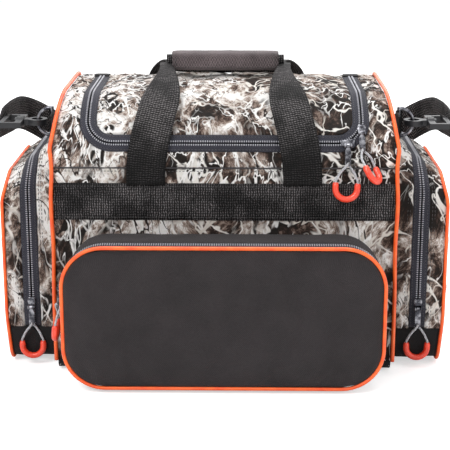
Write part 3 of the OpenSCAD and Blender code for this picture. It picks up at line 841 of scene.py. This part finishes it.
def lid(u, v):
    s = LID_S + (FOLD_S - LID_S) * v
    x = row_half(ZIP_X - TAPE_EDGE, LID_R, s - LID_S) * (2 * u - 1)
    inner = min(1.0, 7 * u, 7 * (1 - u), 5 * v, 9 * (1 - v))
    lift = 5.5 * seam_fall(u) * seam_fall(v) + 1.5 * rumple((x, s, 0), 5, 34.0) * inner
    return wrap(x, s, lift)


lid_piece = settle(spread("lid_cloth", 72, 50, lid), 2.0, 0.025, 6.0)
thick(dress(lid_piece, "lid", ["lid_panel"], PRINT, LINING), 3.0)
print("lid made")

# %% [markdown]
# A zip is two woven tapes with a coil between them. Each half belongs to its own side, so the coil is two
# rows of teeth that mesh when the zip is shut and part when it opens.

# %% Zips
TAPE_FROM, TAPE_WIDE = 0.7, 7.9
TOOTH_OFF, TOOTH_PITCH, TOOTH_SIZE = 1.7, 2.3, (1.3, 2.3, 1.6)


def seam_line(surface, steps, off, lift):
    """Points of a seam, each with the direction away from the cloth."""
    line = []
    for t in even(0, 1, steps):
        p = surface(t, off, lift)
        line.append((p, (surface(t, off, lift + 2.0) - p).normalized()))
    return line


def zip_half(name, surface, length, side, body, nodes):
    """One tape and its row of teeth. surface(t, off, lift) gives a point, side is 1 outside and -1 inside."""
    def tape(u, v):
        return surface(v, side * (TAPE_FROM + TAPE_WIDE * u), 0.9 - 0.4 * smooth(0.25, 0.7, u))

    piece = spread(name + "_woven_tape", 5, int(length / 4), tape)
    thick(dress(piece, body, nodes, TAPE), 1.2)
    steps = int(length / 2)
    line = seam_line(surface, steps, side * TOOTH_OFF, 1.2)
    dress(beads(name + "_teeth", [line], TOOTH_PITCH, TOOTH_SIZE), body, (), COIL_PAINTED_HIGHLIGHT)
    line = seam_line(surface, steps, side * 6.6, 0.55)
    stitches(name + "_stitches", [line], 3.4, (2.4, 0.6, 0.5), body)


def lid_side(t, off, lift):
    """The lid's half stops a little short of the fold at both ends."""
    return lid_surface(0.014 + 0.972 * t, off, lift)


zip_half("lid_zip_body", lid_surface, ZIP_LENGTH, 1, "body", ["lid_zip_body_tape"])
zip_half("lid_zip_lid", lid_side, ZIP_LENGTH, -1, "lid", ["lid_zip_lid_tape"])
for side, word in SIDES:
    def end_tab(u, v):
        lift = 1.9 + 0.5 * seam_fall(u) * seam_fall(v)
        return wrap(side * (130.4 + 18.0 * u), FOLD_S - 9.5 + 15.5 * v, lift)

    piece = spread(f"lid_zip_{word}_end_tab", 8, 6, end_tab)
    thick(dress(piece, "body", (), BASE_CLOTH), 1.2)
print("lid zip made")

# %% [markdown]
# Bands of webbing run across the front and the back, and the legs of the handles are sewn to them. A leg
# rises from the band, and its webbing is folded narrow where it meets the grip.

# %% Bands and handles
BAND_HALF, BAND_Z, STITCH_UP = 172.8, 183.0, 16.0
FOOT_X, FOOT_Y, FOOT_Z = 79.0, 111.3, 205.0
ROLL_HALF, ROLL_R = 62.0, 6.9


def band(name, y, node):
    out = math.copysign(1.0, y)
    line = []
    for i, x in enumerate(even(-BAND_HALF, BAND_HALF, 60)):
        proud = 1.2 + 0.4 * noise.noise((i * 0.17, y, 0.0))
        z = BAND_Z + 0.6 * noise.noise((i * 0.11, 3.0, y))
        line.append(Vector((x, y + out * proud, z)))
    dress(swept(name, line, (0, 0, 1), flat(37.5, 2.0)), "body", [node], WEBBING)
    rows = [[(Vector((p.x, p.y + out * 1.15, p.z + up)), Vector((0, out, 0))) for p in line]
            for up in (-STITCH_UP, STITCH_UP)]
    stitches(name + "_stitches", rows, 3.4, (2.5, 0.7, 0.5), "body")


def leg(front, top, away, arrive, open_x):
    foot = Vector((FOOT_X, front * FOOT_Y, FOOT_Z))
    top = Vector(top)
    return bend(foot, foot + Vector((0, front * away[0], away[1])),
                top + Vector((open_x, front * arrive[0], arrive[1])), top, 24)


def handle(word, front, top, away, arrive, open_x, fold_at, roll_z, low):
    """Two legs and the roll between them. front is -1 or 1.

    A leg goes from its foot to top. It leaves by the step away and arrives from the step arrive, moved open_x
    sideways, and it narrows from ring fold_at on. The roll lies at roll_z and reaches low below its middle.
    """
    nodes = [word + "_handle_webbing"]
    widths = [38.0 - 26.0 * smooth(fold_at, 25, i) for i in range(26)]
    for side, hand in ((1, "right"), (-1, "left")):
        line = [Vector((side * p.x, p.y, p.z)) for p in leg(front, top, away, arrive, open_x)]
        line = [line[0] + Vector((0, 0, -4))] + line
        piece = swept(f"{word}_handle_{hand}_leg", line, (1, 0, 0), flat(widths, 2.2))
        dress(piece, "body", nodes, HANDLE_WEBBING_SHADED_FOOT,
              blend=(word + "_handle", (0, front * 111, 203), (0, front * 111, 219)))
        nodes = []
    y = top[1]
    line = [Vector((x, y, roll_z + 0.4 * noise.noise((i * 0.4, 1.0, y))))
            for i, x in enumerate(even(-ROLL_HALF, ROLL_HALF, 22))]
    roll = [(ROLL_R * c, (low if s < 0 else ROLL_R) * s) for c, s in circle(14)]
    piece = swept(word + "_grip_roll", line, (0, 1, 0),
                  lambda j: [(a * (1 - 0.25 * (abs(j - 11) / 11) ** 6), b) for a, b in roll])
    dress(piece, word + "_handle", (), WEBBING)


band("front_band_webbing", -HALF_D, "front_band")
band("rear_band_webbing", HALF_D, "rear_band")
handle("front", -1, top=(63.0, -8.0, 309.0), away=(2.0, 54.0), arrive=(80.0, -6.5), open_x=-10.5,
       fold_at=14, roll_z=311.5, low=7.6)
handle("rear", 1, top=(58.0, 19.0, 303.0), away=(6.0, 73.0), arrive=(87.0, 5.0), open_x=1,
       fold_at=9, roll_z=303.0, low=8.6)
print("bands and handles made")

# %% [markdown]
# A pocket has a rounded face, a gusset round its edge and piping on the corner between them. Its outline is
# walked from the left end of its fold, up and over the top to the right end, and then back under the bottom.
# It is made of four quarters, turned over as needed.

# %% Pocket outlines
def quarter(d, half, straight, radius):
    """A quarter of an outline: up from (half, 0), round the corner and in to the middle."""
    arc = radius * math.pi / 2
    if d < straight:
        return Vector((half, d)), Vector((1.0, 0.0))
    if d < straight + arc:
        a = (d - straight) / radius
        out = Vector((math.cos(a), math.sin(a)))
        return Vector((half - radius, straight)) + radius * out, out
    return Vector((half - radius - (d - straight - arc), straight + radius)), Vector((0.0, 1.0))


def pocket_outline(half, low, top, fold, low_r, top_r):
    """Gives at(d), a place and outward direction on a pocket's outline, and its upper and whole lengths."""
    rise, fall = top - top_r - fold, fold - low - low_r
    upper = 2 * (rise + top_r * math.pi / 2 + half - top_r)
    whole = upper + 2 * (fall + low_r * math.pi / 2 + half - low_r)

    def at(d):
        d = d % whole
        length, straight, radius, up, flip = upper, rise, top_r, 1, -1
        if d > upper:
            d -= upper
            length, straight, radius, up, flip = whole - upper, fall, low_r, -1, 1
        if d > length / 2:
            d, flip = length - d, -flip
        p, out = quarter(d, half, straight, radius)
        return Vector((flip * p.x, fold + up * p.y)), Vector((flip * out.x, up * out.y))
    return at, upper, whole


def pocket_wall(name, gusset, inside, along, depths, cells, puff, folds):
    """A strip of a gusset between two places along the outline and two depths across it.

    folds: how uneven it is as a share of puff, the seed of its folds and their size in mm.
    """
    share, seed, size = folds

    def place(u, v):
        d = along[0] + (along[1] - along[0]) * v
        deep = depths[0] + (depths[1] - depths[0]) * u
        return gusset(d, deep, puff * seam_fall(u) + share * puff * rumple((d, deep, 0), seed, size))
    return spread(name, cells, int(abs(along[1] - along[0]) / 5), place, inside)

print("pocket outlines ready")

# %% [markdown]
# The front pocket's face is a taut sheet of charcoal cloth that bulges a little. The gusset behind it is split
# by the zip.

# %% Front pocket
FRONT_HALF, FRONT_LOW, FRONT_TOP, FRONT_FOLD, CORNER_R = 158.0, 6.0, 149.0, 85.0, 40.0
FACE_Y, FRONT_ZIP_Y, WALL_Y = -168.0, -151.0, -107.5
FRONT_MIDDLE = Vector((0, -138, 77))
front_edge, FRONT_UPPER, FRONT_WHOLE = pocket_outline(
    FRONT_HALF, FRONT_LOW, FRONT_TOP, FRONT_FOLD, CORNER_R, CORNER_R)
FRONT_BLEND = ("front_flap", (0, FACE_Y, 78.0), (0, FACE_Y, 92.0))


def front_face(u, v):
    z = FRONT_LOW + (FRONT_TOP - FRONT_LOW) * v
    half = row_half(FRONT_HALF, CORNER_R, min(z - FRONT_LOW, FRONT_TOP - z))
    x = half * (2 * u - 1)
    full = seam_fall(u) * seam_fall(v)
    sag = 1.5 * full * math.exp(-((z - 52) / 16) ** 2)
    uneven = 0.7 * full * rumple((x, z, 0), 6, 60.0)
    return Vector((x, FACE_Y + 1.5 - 7.0 * full - sag - uneven, z))


def front_gusset(d, y, lift):
    p, out = front_edge(d)
    p = p + lift * out
    return Vector((p.x, y, p.y))


face = settle(spread("front_pocket_face", 72, 40, front_face, FRONT_MIDDLE), 2.0, 0.012, 4.0)
dress(face, "body", ["front_pocket_flap", "front_pocket_lower_face"], CHARCOAL, LINING,
      FRONT_BLEND)
thick(face, 2.5)
for part, along, depths, body, nodes, puff in (
        ("inner", (0.0, FRONT_UPPER), (-142.6, WALL_Y), "body", ["front_pocket_gusset"], 1.0),
        ("lower", (FRONT_UPPER, FRONT_WHOLE), (-164.5, WALL_Y), "body", [], 1.0),
        ("outer", (0.0, FRONT_UPPER), (-165.0, -159.4), "front_flap", [], 0.3)):
    piece = pocket_wall(f"front_pocket_{part}_wall", front_gusset, FRONT_MIDDLE, along, depths, 9, puff,
                        (0.35, 7, 24.0))
    thick(dress(piece, body, nodes, CHARCOAL, LINING), 2.0)


def front_zip(t, off, lift):
    return front_gusset(1.0 + (FRONT_UPPER - 2.0) * t, FRONT_ZIP_Y - off, lift)


zip_half("front_pocket_zip_out", front_zip, FRONT_UPPER, 1, "front_flap", ["front_pocket_zip_outer"])
zip_half("front_pocket_zip_in", front_zip, FRONT_UPPER, -1, "body", ["front_pocket_zip_inner"])
line = [front_gusset(d, FACE_Y + 2.0, 1.9) for d in even(0, FRONT_WHOLE, 220)]
pipe = swept("front_pocket_piping", line, (0, 1, 0), ring(1.95), False)
dress(pipe, "body", ["front_pocket_flap_piping", "front_pocket_lower_piping"], PIPING,
      blend=FRONT_BLEND)
print("front pocket made")

# %% [markdown]
# Each end carries a tall pocket. Its upper part is printed cloth with a zip round it, its foot is black, and
# its outer face folds down at the foot. Double rows of stitches follow the zip.

# %% Side pockets
SIDE_HALF, SIDE_LOW, SIDE_TOP, SIDE_FOLD, SIDE_LOW_R, SIDE_TOP_R = 85.0, 4.0, 212.0, 40.0, 14.0, 30.0
SIDE_IN, SIDE_OUT, SIDE_ZIP = 177.5, 232.0, 203.0
FACE_X = SIDE_OUT - 2.0
TOPSTITCHES = ((191.6, "body", "in"), (189.0, "body", "in2"), (214.4, "flap", "out"), (217.0, "flap", "out2"))
side_edge, SIDE_UPPER, SIDE_WHOLE = pocket_outline(
    SIDE_HALF, SIDE_LOW, SIDE_TOP, SIDE_FOLD, SIDE_LOW_R, SIDE_TOP_R)


def belly(side, x, y, z):
    """A point of the pocket with its form: less full at the foot and the top, which slopes down outwards."""
    out = (x - END_X) * (1.0 - 0.07 * (1 - smooth(0, 60, z)) - 0.10 * smooth(180, 216, z))
    slope = smooth(120, SIDE_TOP, z) * (22.0 - 0.62 * (x - END_X))
    return Vector((side * (END_X + out), y, z + slope))


def side_pocket(word, side):
    inside = Vector((side * 205, 0, 110))
    flap = word + "_flap"
    fold = (flap, (side * SIDE_OUT, 0, 36.0), (side * SIDE_OUT, 0, 46.0))

    def gusset(d, x, lift):
        p, out = side_edge(d)
        p = p + lift * out
        return belly(side, x, p.x, p.y)

    upper, lower = (0.0, SIDE_UPPER), (SIDE_UPPER, SIDE_WHOLE)
    for part, along, depths, body, nodes, paint, slot, puff in (
            ("inner", upper, (SIDE_IN, 194.6), "body", [word + "_pocket_shell"], PRINT, "camo_fabric", 1.4),
            ("outer", upper, (211.4, 229.5), flap, [], PRINT, "camo_fabric", 1.4),
            ("foot", lower, (SIDE_IN, FACE_X), "body", [], BASE_CLOTH, "base_fabric", 1.0)):
        piece = pocket_wall(f"{word}_pocket_{part}_wall", gusset, inside, along, depths, 8, puff,
                            (0.5, 8 + side, 26.0))
        thick(dress(piece, body, nodes, paint, LINING), 2.0)

    def outer_face(u, v):
        z = SIDE_FOLD + (SIDE_TOP - SIDE_FOLD) * v
        half = row_half(SIDE_HALF, SIDE_TOP_R, SIDE_TOP - z)
        y = half * (2 * u - 1)
        full = seam_fall(u) * (1 - (2 * max(0.0, v - 0.5)) ** 4)
        puff = 2.5 * smooth(0, 0.25, v + 0.03) + 0.9 * rumple((y, z, 0), 9 + side, 40.0)
        return belly(side, FACE_X + full * puff, y, z)

    def foot_face(u, v):
        z = SIDE_LOW + (SIDE_FOLD - SIDE_LOW) * v
        half = row_half(SIDE_HALF, SIDE_LOW_R, z - SIDE_LOW)
        y = half * (2 * u - 1)
        return belly(side, FACE_X + 1.5 * seam_fall(u) * smooth(0, 0.5, v), y, z)

    piece = settle(spread(word + "_pocket_face", 40, 44, outer_face, inside), 2.0, 0.02, 3.0)
    thick(dress(piece, "body", [word + "_pocket_flap"], PRINT, LINING, fold), 2.5)
    piece = spread(word + "_pocket_foot", 40, 10, foot_face, inside)
    thick(dress(piece, "body", [], BASE_CLOTH, LINING), 2.5)

    def side_zip(t, off, lift):
        return gusset(1.0 + (SIDE_UPPER - 2.0) * t, SIDE_ZIP + off, lift)

    zip_half(word + "_pocket_zip_out", side_zip, SIDE_UPPER, 1, flap, [word + "_pocket_zip_outer"])
    zip_half(word + "_pocket_zip_in", side_zip, SIDE_UPPER, -1, "body", ["side_pocket_zip_inner"])
    line = [gusset(d, FACE_X, 1.8) for d in even(0, SIDE_WHOLE, 240)]
    pipe = swept(word + "_pocket_edge_piping", line, (1, 0, 0), ring(1.8), False)
    dress(pipe, "body", [word + "_pocket_piping"], PIPING, blend=fold)

    def around_top(t, x, lift):
        return gusset(SIDE_UPPER * t, x, lift)

    for x, part, tag in TOPSTITCHES:
        rows = [seam_line(around_top, 160, x, 1.4)]
        stitches(f"{word}_pocket_topstitch_{tag}", rows, 4.2, (3.0, 0.7, 0.6),
                 flap if part == "flap" else "body")


for side, word in SIDES:
    side_pocket(word, side)
print("side pockets made")

# %% [markdown]
# The padded wrap closes round the front grip. It is a soft tube, flatter than it is deep, with rounded ends
# and two rows of stitches on each long side.

# %% Grip wrap
WRAP_HALF, WRAP_Y, WRAP_Z = 56.0, -8.0, 312.0
WRAP_DEEP, WRAP_HIGH, WRAP_SQUARE = 13.2, 9.8, 0.42


def squared(value):
    """A cosine or sine pushed towards 1, which turns a round section into a soft box."""
    return math.copysign(abs(value) ** WRAP_SQUARE, value)


def wrap_section(j):
    full = 1.0 - 0.07 * (abs(j - 14) / 14) ** 12
    return [(WRAP_DEEP * full * squared(c), WRAP_HIGH * full * squared(s)) for c, s in circle(28)]


line = [Vector((x, WRAP_Y, WRAP_Z + 0.3 * noise.noise((i * 0.3, 5.0, 0.0))))
        for i, x in enumerate(even(-WRAP_HALF, WRAP_HALF, 28))]
wrap_piece = swept("grip_wrap_cloth", line, (0, 1, 0), wrap_section)
dress(wrap_piece, "front_handle", ["grip_wrap"], WRAP)
rows = []
for y, z in ((-20.8, 306.0), (-20.8, 316.2), (4.8, 306.0), (4.8, 316.2)):
    away = Vector((0, math.copysign(1.0, y - WRAP_Y), math.copysign(0.4, z - WRAP_Z)))
    rows.append([(Vector((x, y, z)), away) for x in even(-52, 52, 40)])
for x in (-52, 52):
    rows.append([(Vector((x, WRAP_Y - 13.3, z)), Vector((0, -1, 0))) for z in even(304, 318, 8)])
stitches("grip_wrap_stitches", rows, 4.0, (2.8, 0.8, 0.7), "front_handle")
print("grip wrap made")

# %% [markdown]
# The shoulder strap is one length of webbing. It leaves the frame at each hook, falls behind the bag in an
# easy curve and turns as it goes. A slide sits on it at the back. Each row of the route has the eye that it
# is measured from, the step from there and the direction of the webbing's width.

# %% Shoulder strap
EYE, REAR_EYE = Vector((236.0, -30.0, 250.0)), Vector((236.0, 108.0, 250.0))
ROUTE = [(EYE, (0.6, 0, -1), (0, 1, 0)), (EYE, (8, 7, -7), (-0.3, 0.8, 0.5)),
         (EYE, (10, 24, -9), (-0.3, 0.2, 0.93)), (EYE, (9, 55, -10), (-0.2, 0, 0.98)),
         (REAR_EYE, (6, -48, -11), (-0.1, 0, 1)), (REAR_EYE, (2, -14, -14), (-0.1, -0.1, 1)),
         (REAR_EYE, (-10, 10, -24), (0, -0.1, 1)), (REAR_EYE, (-36, 24, -44), (0.2, 0, 0.98)),
         (REAR_EYE, (-76, 28, -72), (0.3, 0, 0.95)), (REAR_EYE, (-121, 30, -95), (0.25, 0, 0.97)),
         (REAR_EYE, (-176, 31, -111), (0.12, 0, 0.99))]
right_half = [(start + Vector(step), Vector(side)) for start, step, side in ROUTE]
middle = [(Vector((0, 139, 134)), Vector((0, 0, 1)))]
left_half = [(Vector((-p.x, p.y, p.z)), Vector((-w.x, w.y, w.z))) for p, w in reversed(right_half)]
stations = right_half + middle + left_half
line = curve([p for p, w in stations], 6)
turns = [w.normalized() for w in curve([w for p, w in stations], 6)]
piece = swept("shoulder_strap", line, turns, flat(37.0, 2.0))
dress(piece, "strap", ["strap_webbing"], WEBBING)
print("strap is", round(run_length(line) * MM, 2), "m long")

# %% [markdown]
# The rings are held by short webbing tabs sewn to the ends. Rings, hooks and frames keep the shapes of their
# solids, and only their finish is new.

# %% Ring tabs and hardware
RING_Z = 250.0
for side, word in SIDES:
    line = [Vector((side * 180.4, y, RING_Z)) for y in even(-64, -34, 10)[:-1]]
    for a in even(0, math.pi, 12):
        line.append(Vector((side * (183 - 2.9 * math.cos(a)), -33.5 + 3.4 * math.sin(a) + 3.4, RING_Z)))
    piece = swept(word + "_ring_tab", line, (0, 0, 1), flat(24.0, 1.5))
    dress(piece, "body", ["ring_tabs"], WEBBING)
    rows = [[(Vector((side * 181.3, y, z)), Vector((side, 0, 0))) for y in even(-60, -40, 8)]
            for z in (RING_Z - 9, RING_Z + 9)]
    stitches(word + "_ring_tab_stitches", rows, 3.2, (2.3, 0.8, 0.6), "body")
repaint("d_rings", PLATED)
for node in ("snap_hooks", "strap_eyes", "strap_slide"):
    repaint(node, PLASTIC)
print("ring tabs and hardware made")

# %% [markdown]
# A slider is a crowned plate with two ears that hold a pin. A tab hangs on the pin and has a hole for the
# cord. Plates are cut as grids, thickened and given rounded edges with a Bevel modifier.

# %% Sliders and tabs
LOOP_R, LOOP_DROP = 11.0, 22.0
TAB_L, TAB_HALF, NECK_HALF, HOLE_R, SHOULDER, TAB_TOP = 18.0, 3.0, 2.0, 2.0, 13.8, 16.6


def cast(obj, deep, soft, offset):
    """Thickness and rounded edges for a cast plate, in mm."""
    wall = obj.modifiers.new("plate", "SOLIDIFY")
    wall.thickness, wall.offset = deep * MM, offset
    edge = obj.modifiers.new("round_edges", "BEVEL")
    edge.width, edge.segments, edge.limit_method = soft * MM, 3, "ANGLE"


def slider(set_name, body, frame_of):
    """frame_of turns the slider's own millimetres, with -y outwards and z along the zip, to the bag's."""
    def plate(u, v):
        z = -7.0 + 14.0 * v
        half = 3.1 + 1.4 * smooth(-3.0, 3.5, z) - 0.5 * smooth(5.0, 7.0, z)
        x = half * (2 * u - 1)
        return frame_of @ Vector((x, -3.5 + 0.7 * (x / 4.5) ** 2 + 0.5 * smooth(4.0, 7.0, z), z))

    piece = spread(set_name + "_slider_plate", 8, 14, plate, frame_of @ Vector((0, 4, 0)))
    cast(piece, 2.4, 0.5, -1.0)
    dress(piece, body, [set_name + "_slider"], PLATED)


def bar(name, body, pin_frame, half, section):
    """A round bar on the pin's own line."""
    line = [pin_frame @ Vector((x, 0, 0)) for x in even(-half, half, 6)]
    piece = swept(name, line, pin_frame.to_3x3() @ Vector((0, 1, 0)), section)
    dress(piece, body, (), PLATED)


def ears(set_name, body, pin_frame):
    """Two ears and the pin between them, in the pin's own millimetres with -y outwards."""
    for hand, word in SIDES:
        line = [pin_frame @ Vector((hand * 3.1, y, 0)) for y in (2.7, 1.4, 0.2, -1.2, -1.9, -2.2)]
        piece = swept(f"{set_name}_{word}_ear", line, pin_frame.to_3x3() @ Vector((0, 0, 1)),
                      flat([4.2, 4.2, 4.2, 3.4, 2.2, 1.0], 1.6))
        dress(piece, body, (), PLATED)
    bar(set_name + "_pin", body, pin_frame, 3.4, ring(0.95, 12))


def tab_reach(a):
    """How far the tab's outline is from the middle of its hole, a from the direction up to the pin."""
    s, c = abs(math.sin(a)), math.cos(a)
    if c <= 0:
        return TAB_HALF
    sides = TAB_HALF / max(s, 1e-6)
    if sides * c > SHOULDER:
        sides = max(SHOULDER / c, min(NECK_HALF / max(s, 1e-6), TAB_TOP / c))
    return sides


def tab(set_name, tab_frame):
    """The hanging plate with its hole, and the knuckle that turns on the pin."""
    def plate(u, v):
        a = 2 * math.pi * u
        r = HOLE_R + (tab_reach(a) - HOLE_R) * v
        return tab_frame @ Vector((r * math.sin(a), 0.0, -TAB_L + r * math.cos(a)))

    piece = spread(set_name + "_tab_plate", 96, 4, plate, tab_frame @ Vector((0, 30, -9)))
    cast(piece, 1.6, 0.35, 0.0)
    dress(piece, set_name + "_pull", [set_name + "_pull_tab"], PLATED)
    bar(set_name + "_tab_knuckle", set_name + "_pull", tab_frame, 1.9, ring(2.0, 16))

print("sliders and tabs ready")

# %% [markdown]
# A pull is a metal tab on the slider, a loop of braided cord through its hole and a moulded grip over the
# bottom of the loop. There are five, and each hangs in its own way from its own pin.

# %% Pulls
def spin(p, degrees):
    """A point turned about the loop's own upright line."""
    return Matrix.Rotation(math.radians(degrees), 3, "Z") @ Vector(p)


def cord(set_name, hang, twist):
    """The loop from one end in the grip up through the tab's hole and down to the other."""
    arm = [spin((LOOP_R, 0, z - LOOP_DROP), twist) for z in (-1, 2, 4)]
    arm += [spin((LOOP_R * 0.66, 1, -LOOP_DROP * 0.45), twist * 0.6), Vector((2.6, 2.4, -3.6)),
            Vector((0.4, 1.9, -0.7))]
    other = [Vector((-p.x, -p.y, p.z)) for p in reversed(arm)]
    line = [hang @ p for p in curve(arm + [Vector((0, 0, 0))] + other, 5)]
    piece = swept(set_name + "_loop_cord", line, hang.to_3x3() @ Vector((0.3, 0.9, 0.1)), ring(1.2, 8))
    dress(piece, set_name + "_pull", [set_name + "_pull_cord"], CORD)


def grip(set_name, hang, twist):
    """The half ring over the bottom of the loop, with rounded ends."""
    arc = [Vector((LOOP_R, 0, 2.5 - LOOP_DROP)), Vector((LOOP_R, 0, -LOOP_DROP))]
    arc += [Vector((LOOP_R * math.cos(a), 0, -LOOP_DROP - 3 - LOOP_R * math.sin(a)))
            for a in even(0, math.pi, 20)]
    arc += [Vector((-LOOP_R, 0, -LOOP_DROP)), Vector((-LOOP_R, 0, 2.5 - LOOP_DROP))]
    line = [hang @ spin(p, twist) for p in arc]
    radii = [2.5] + [3.2] * (len(arc) - 2) + [2.5]
    piece = swept(set_name + "_loop_grip", line, hang.to_3x3() @ spin((0, 1, 0), twist),
                  lambda j: [(radii[j] * c, radii[j] * s) for c, s in circle(12)])
    dress(piece, set_name + "_pull", [set_name + "_pull_grip"], GRIP_RUBBER)


def pull(set_name, turn, pin, facing, across=False, tilt=0.0, twist=0.0):
    """turn: how the tab hangs, facing: how its slider lies, tilt and twist: how the cord's loop hangs."""
    pin_frame = Matrix.Translation(Vector(pin)) @ facing.to_4x4()
    along = Matrix.Rotation(math.radians(90 if across else 0), 4, "Y")
    slider(set_name, set_name + "_runner", pin_frame @ Matrix.Translation((0, 5.6, 3.0)) @ along)
    ears(set_name, set_name + "_runner", pin_frame)
    tab_frame = Matrix.Translation(Vector(pin)) @ turn.to_4x4()
    tab(set_name, tab_frame)
    hang = tab_frame @ Matrix.Translation((0, 0, -TAB_L)) @ Matrix.Rotation(math.radians(-tilt), 4, "Y")
    cord(set_name, hang, twist)
    grip(set_name, hang, twist)


def tip(degrees):
    """A rotation about the bag's width."""
    return Matrix.Rotation(math.radians(-degrees), 3, "X")


FRONT_TURN = Matrix.Rotation(math.radians(-90), 3, "Z")
pull("lid_front", tip(9), (124, -108.489, 241.49), tip(ZIP_TURN), across=True, tilt=-3)
pull("lid_corner", tip(32), (ZIP_X, -102.644, 253.313), tip(ZIP_TURN + 10), tilt=22, twist=55)
for side, word in SIDES:
    pull(word + "_pocket", tip(0), (side * SIDE_ZIP, -90.6, 63), tip(0))
pull("front_pocket", FRONT_TURN @ tip(6), (-163.6, FRONT_ZIP_Y, 106), FRONT_TURN)
print("pulls made")

# %% [markdown]
# The stage is a wide pale floor under soft light from large lamps and an even sky. The camera sees pure white
# behind the bag, while the lamps stay at a plain level.

# %% Stage and light
FLOOR_HALF, FLOOR_Z, FLOOR_GLOW = 9.0, -0.0015, 0.56
LAMP_AIM = Vector((0.0, 0.0, 0.14))
BLACK, WHITE = (0.0, 0.0, 0.0, 1.0), (1.0, 1.0, 1.0, 1.0)


def stage():
    bm = bmesh.new()
    bmesh.ops.create_grid(bm, x_segments=1, y_segments=1, size=FLOOR_HALF)
    mesh = bpy.data.meshes.new("floor")
    bm.to_mesh(mesh)
    bm.free()
    floor = bpy.data.objects.new("floor", mesh)
    floor.location.z = FLOOR_Z
    bpy.context.scene.collection.objects.link(floor)
    material, shade, t, where = finish("pale_floor", 0.9, Emission_Strength=1.0)
    tint(t, shade, spots(t, where, 3.0), "f6f6f6", "fbfbfb")
    seen = t.node("ShaderNodeLightPath")
    t.put(shade.inputs["Emission Color"], mix(t, FLOOR_GLOW * seen, BLACK, WHITE))
    mesh.materials.append(material)


def lamp(name, size, power, place):
    light = bpy.data.lights.new(name, "AREA")
    light.size = size
    light.energy = power
    obj = bpy.data.objects.new(name, light)
    obj.location = place
    obj.rotation_euler = (LAMP_AIM - Vector(place)).to_track_quat("-Z", "Y").to_euler()
    bpy.context.scene.collection.objects.link(obj)


def sky():
    world = bpy.data.worlds.new("even_sky")
    world.use_nodes = True
    bpy.context.scene.world = world
    t = Thread(world.node_tree, None)
    background = world.node_tree.nodes["Background"]
    ray = t.node("ShaderNodeLightPath")
    seen = ray + Thread(world.node_tree, ray.socket.node.outputs["Is Glossy Ray"])
    t.put(background.inputs["Strength"], 0.40 + 0.60 * seen.step(0.0, 1.0))
    t.put(background.inputs["Color"], WHITE)


stage()
lamp("key_lamp", 0.8, 22.0, (-0.9, -1.3, 1.5))
lamp("fill_lamp", 1.6, 9.0, (1.4, -1.0, 1.0))
lamp("top_lamp", 1.2, 29.0, (0.1, 0.4, 1.9))
lamp("rear_lamp", 1.4, 10.0, (0.3, 1.7, 1.2))
sky()
bpy.context.scene.view_settings.view_transform = "Standard"
print("stage lit")
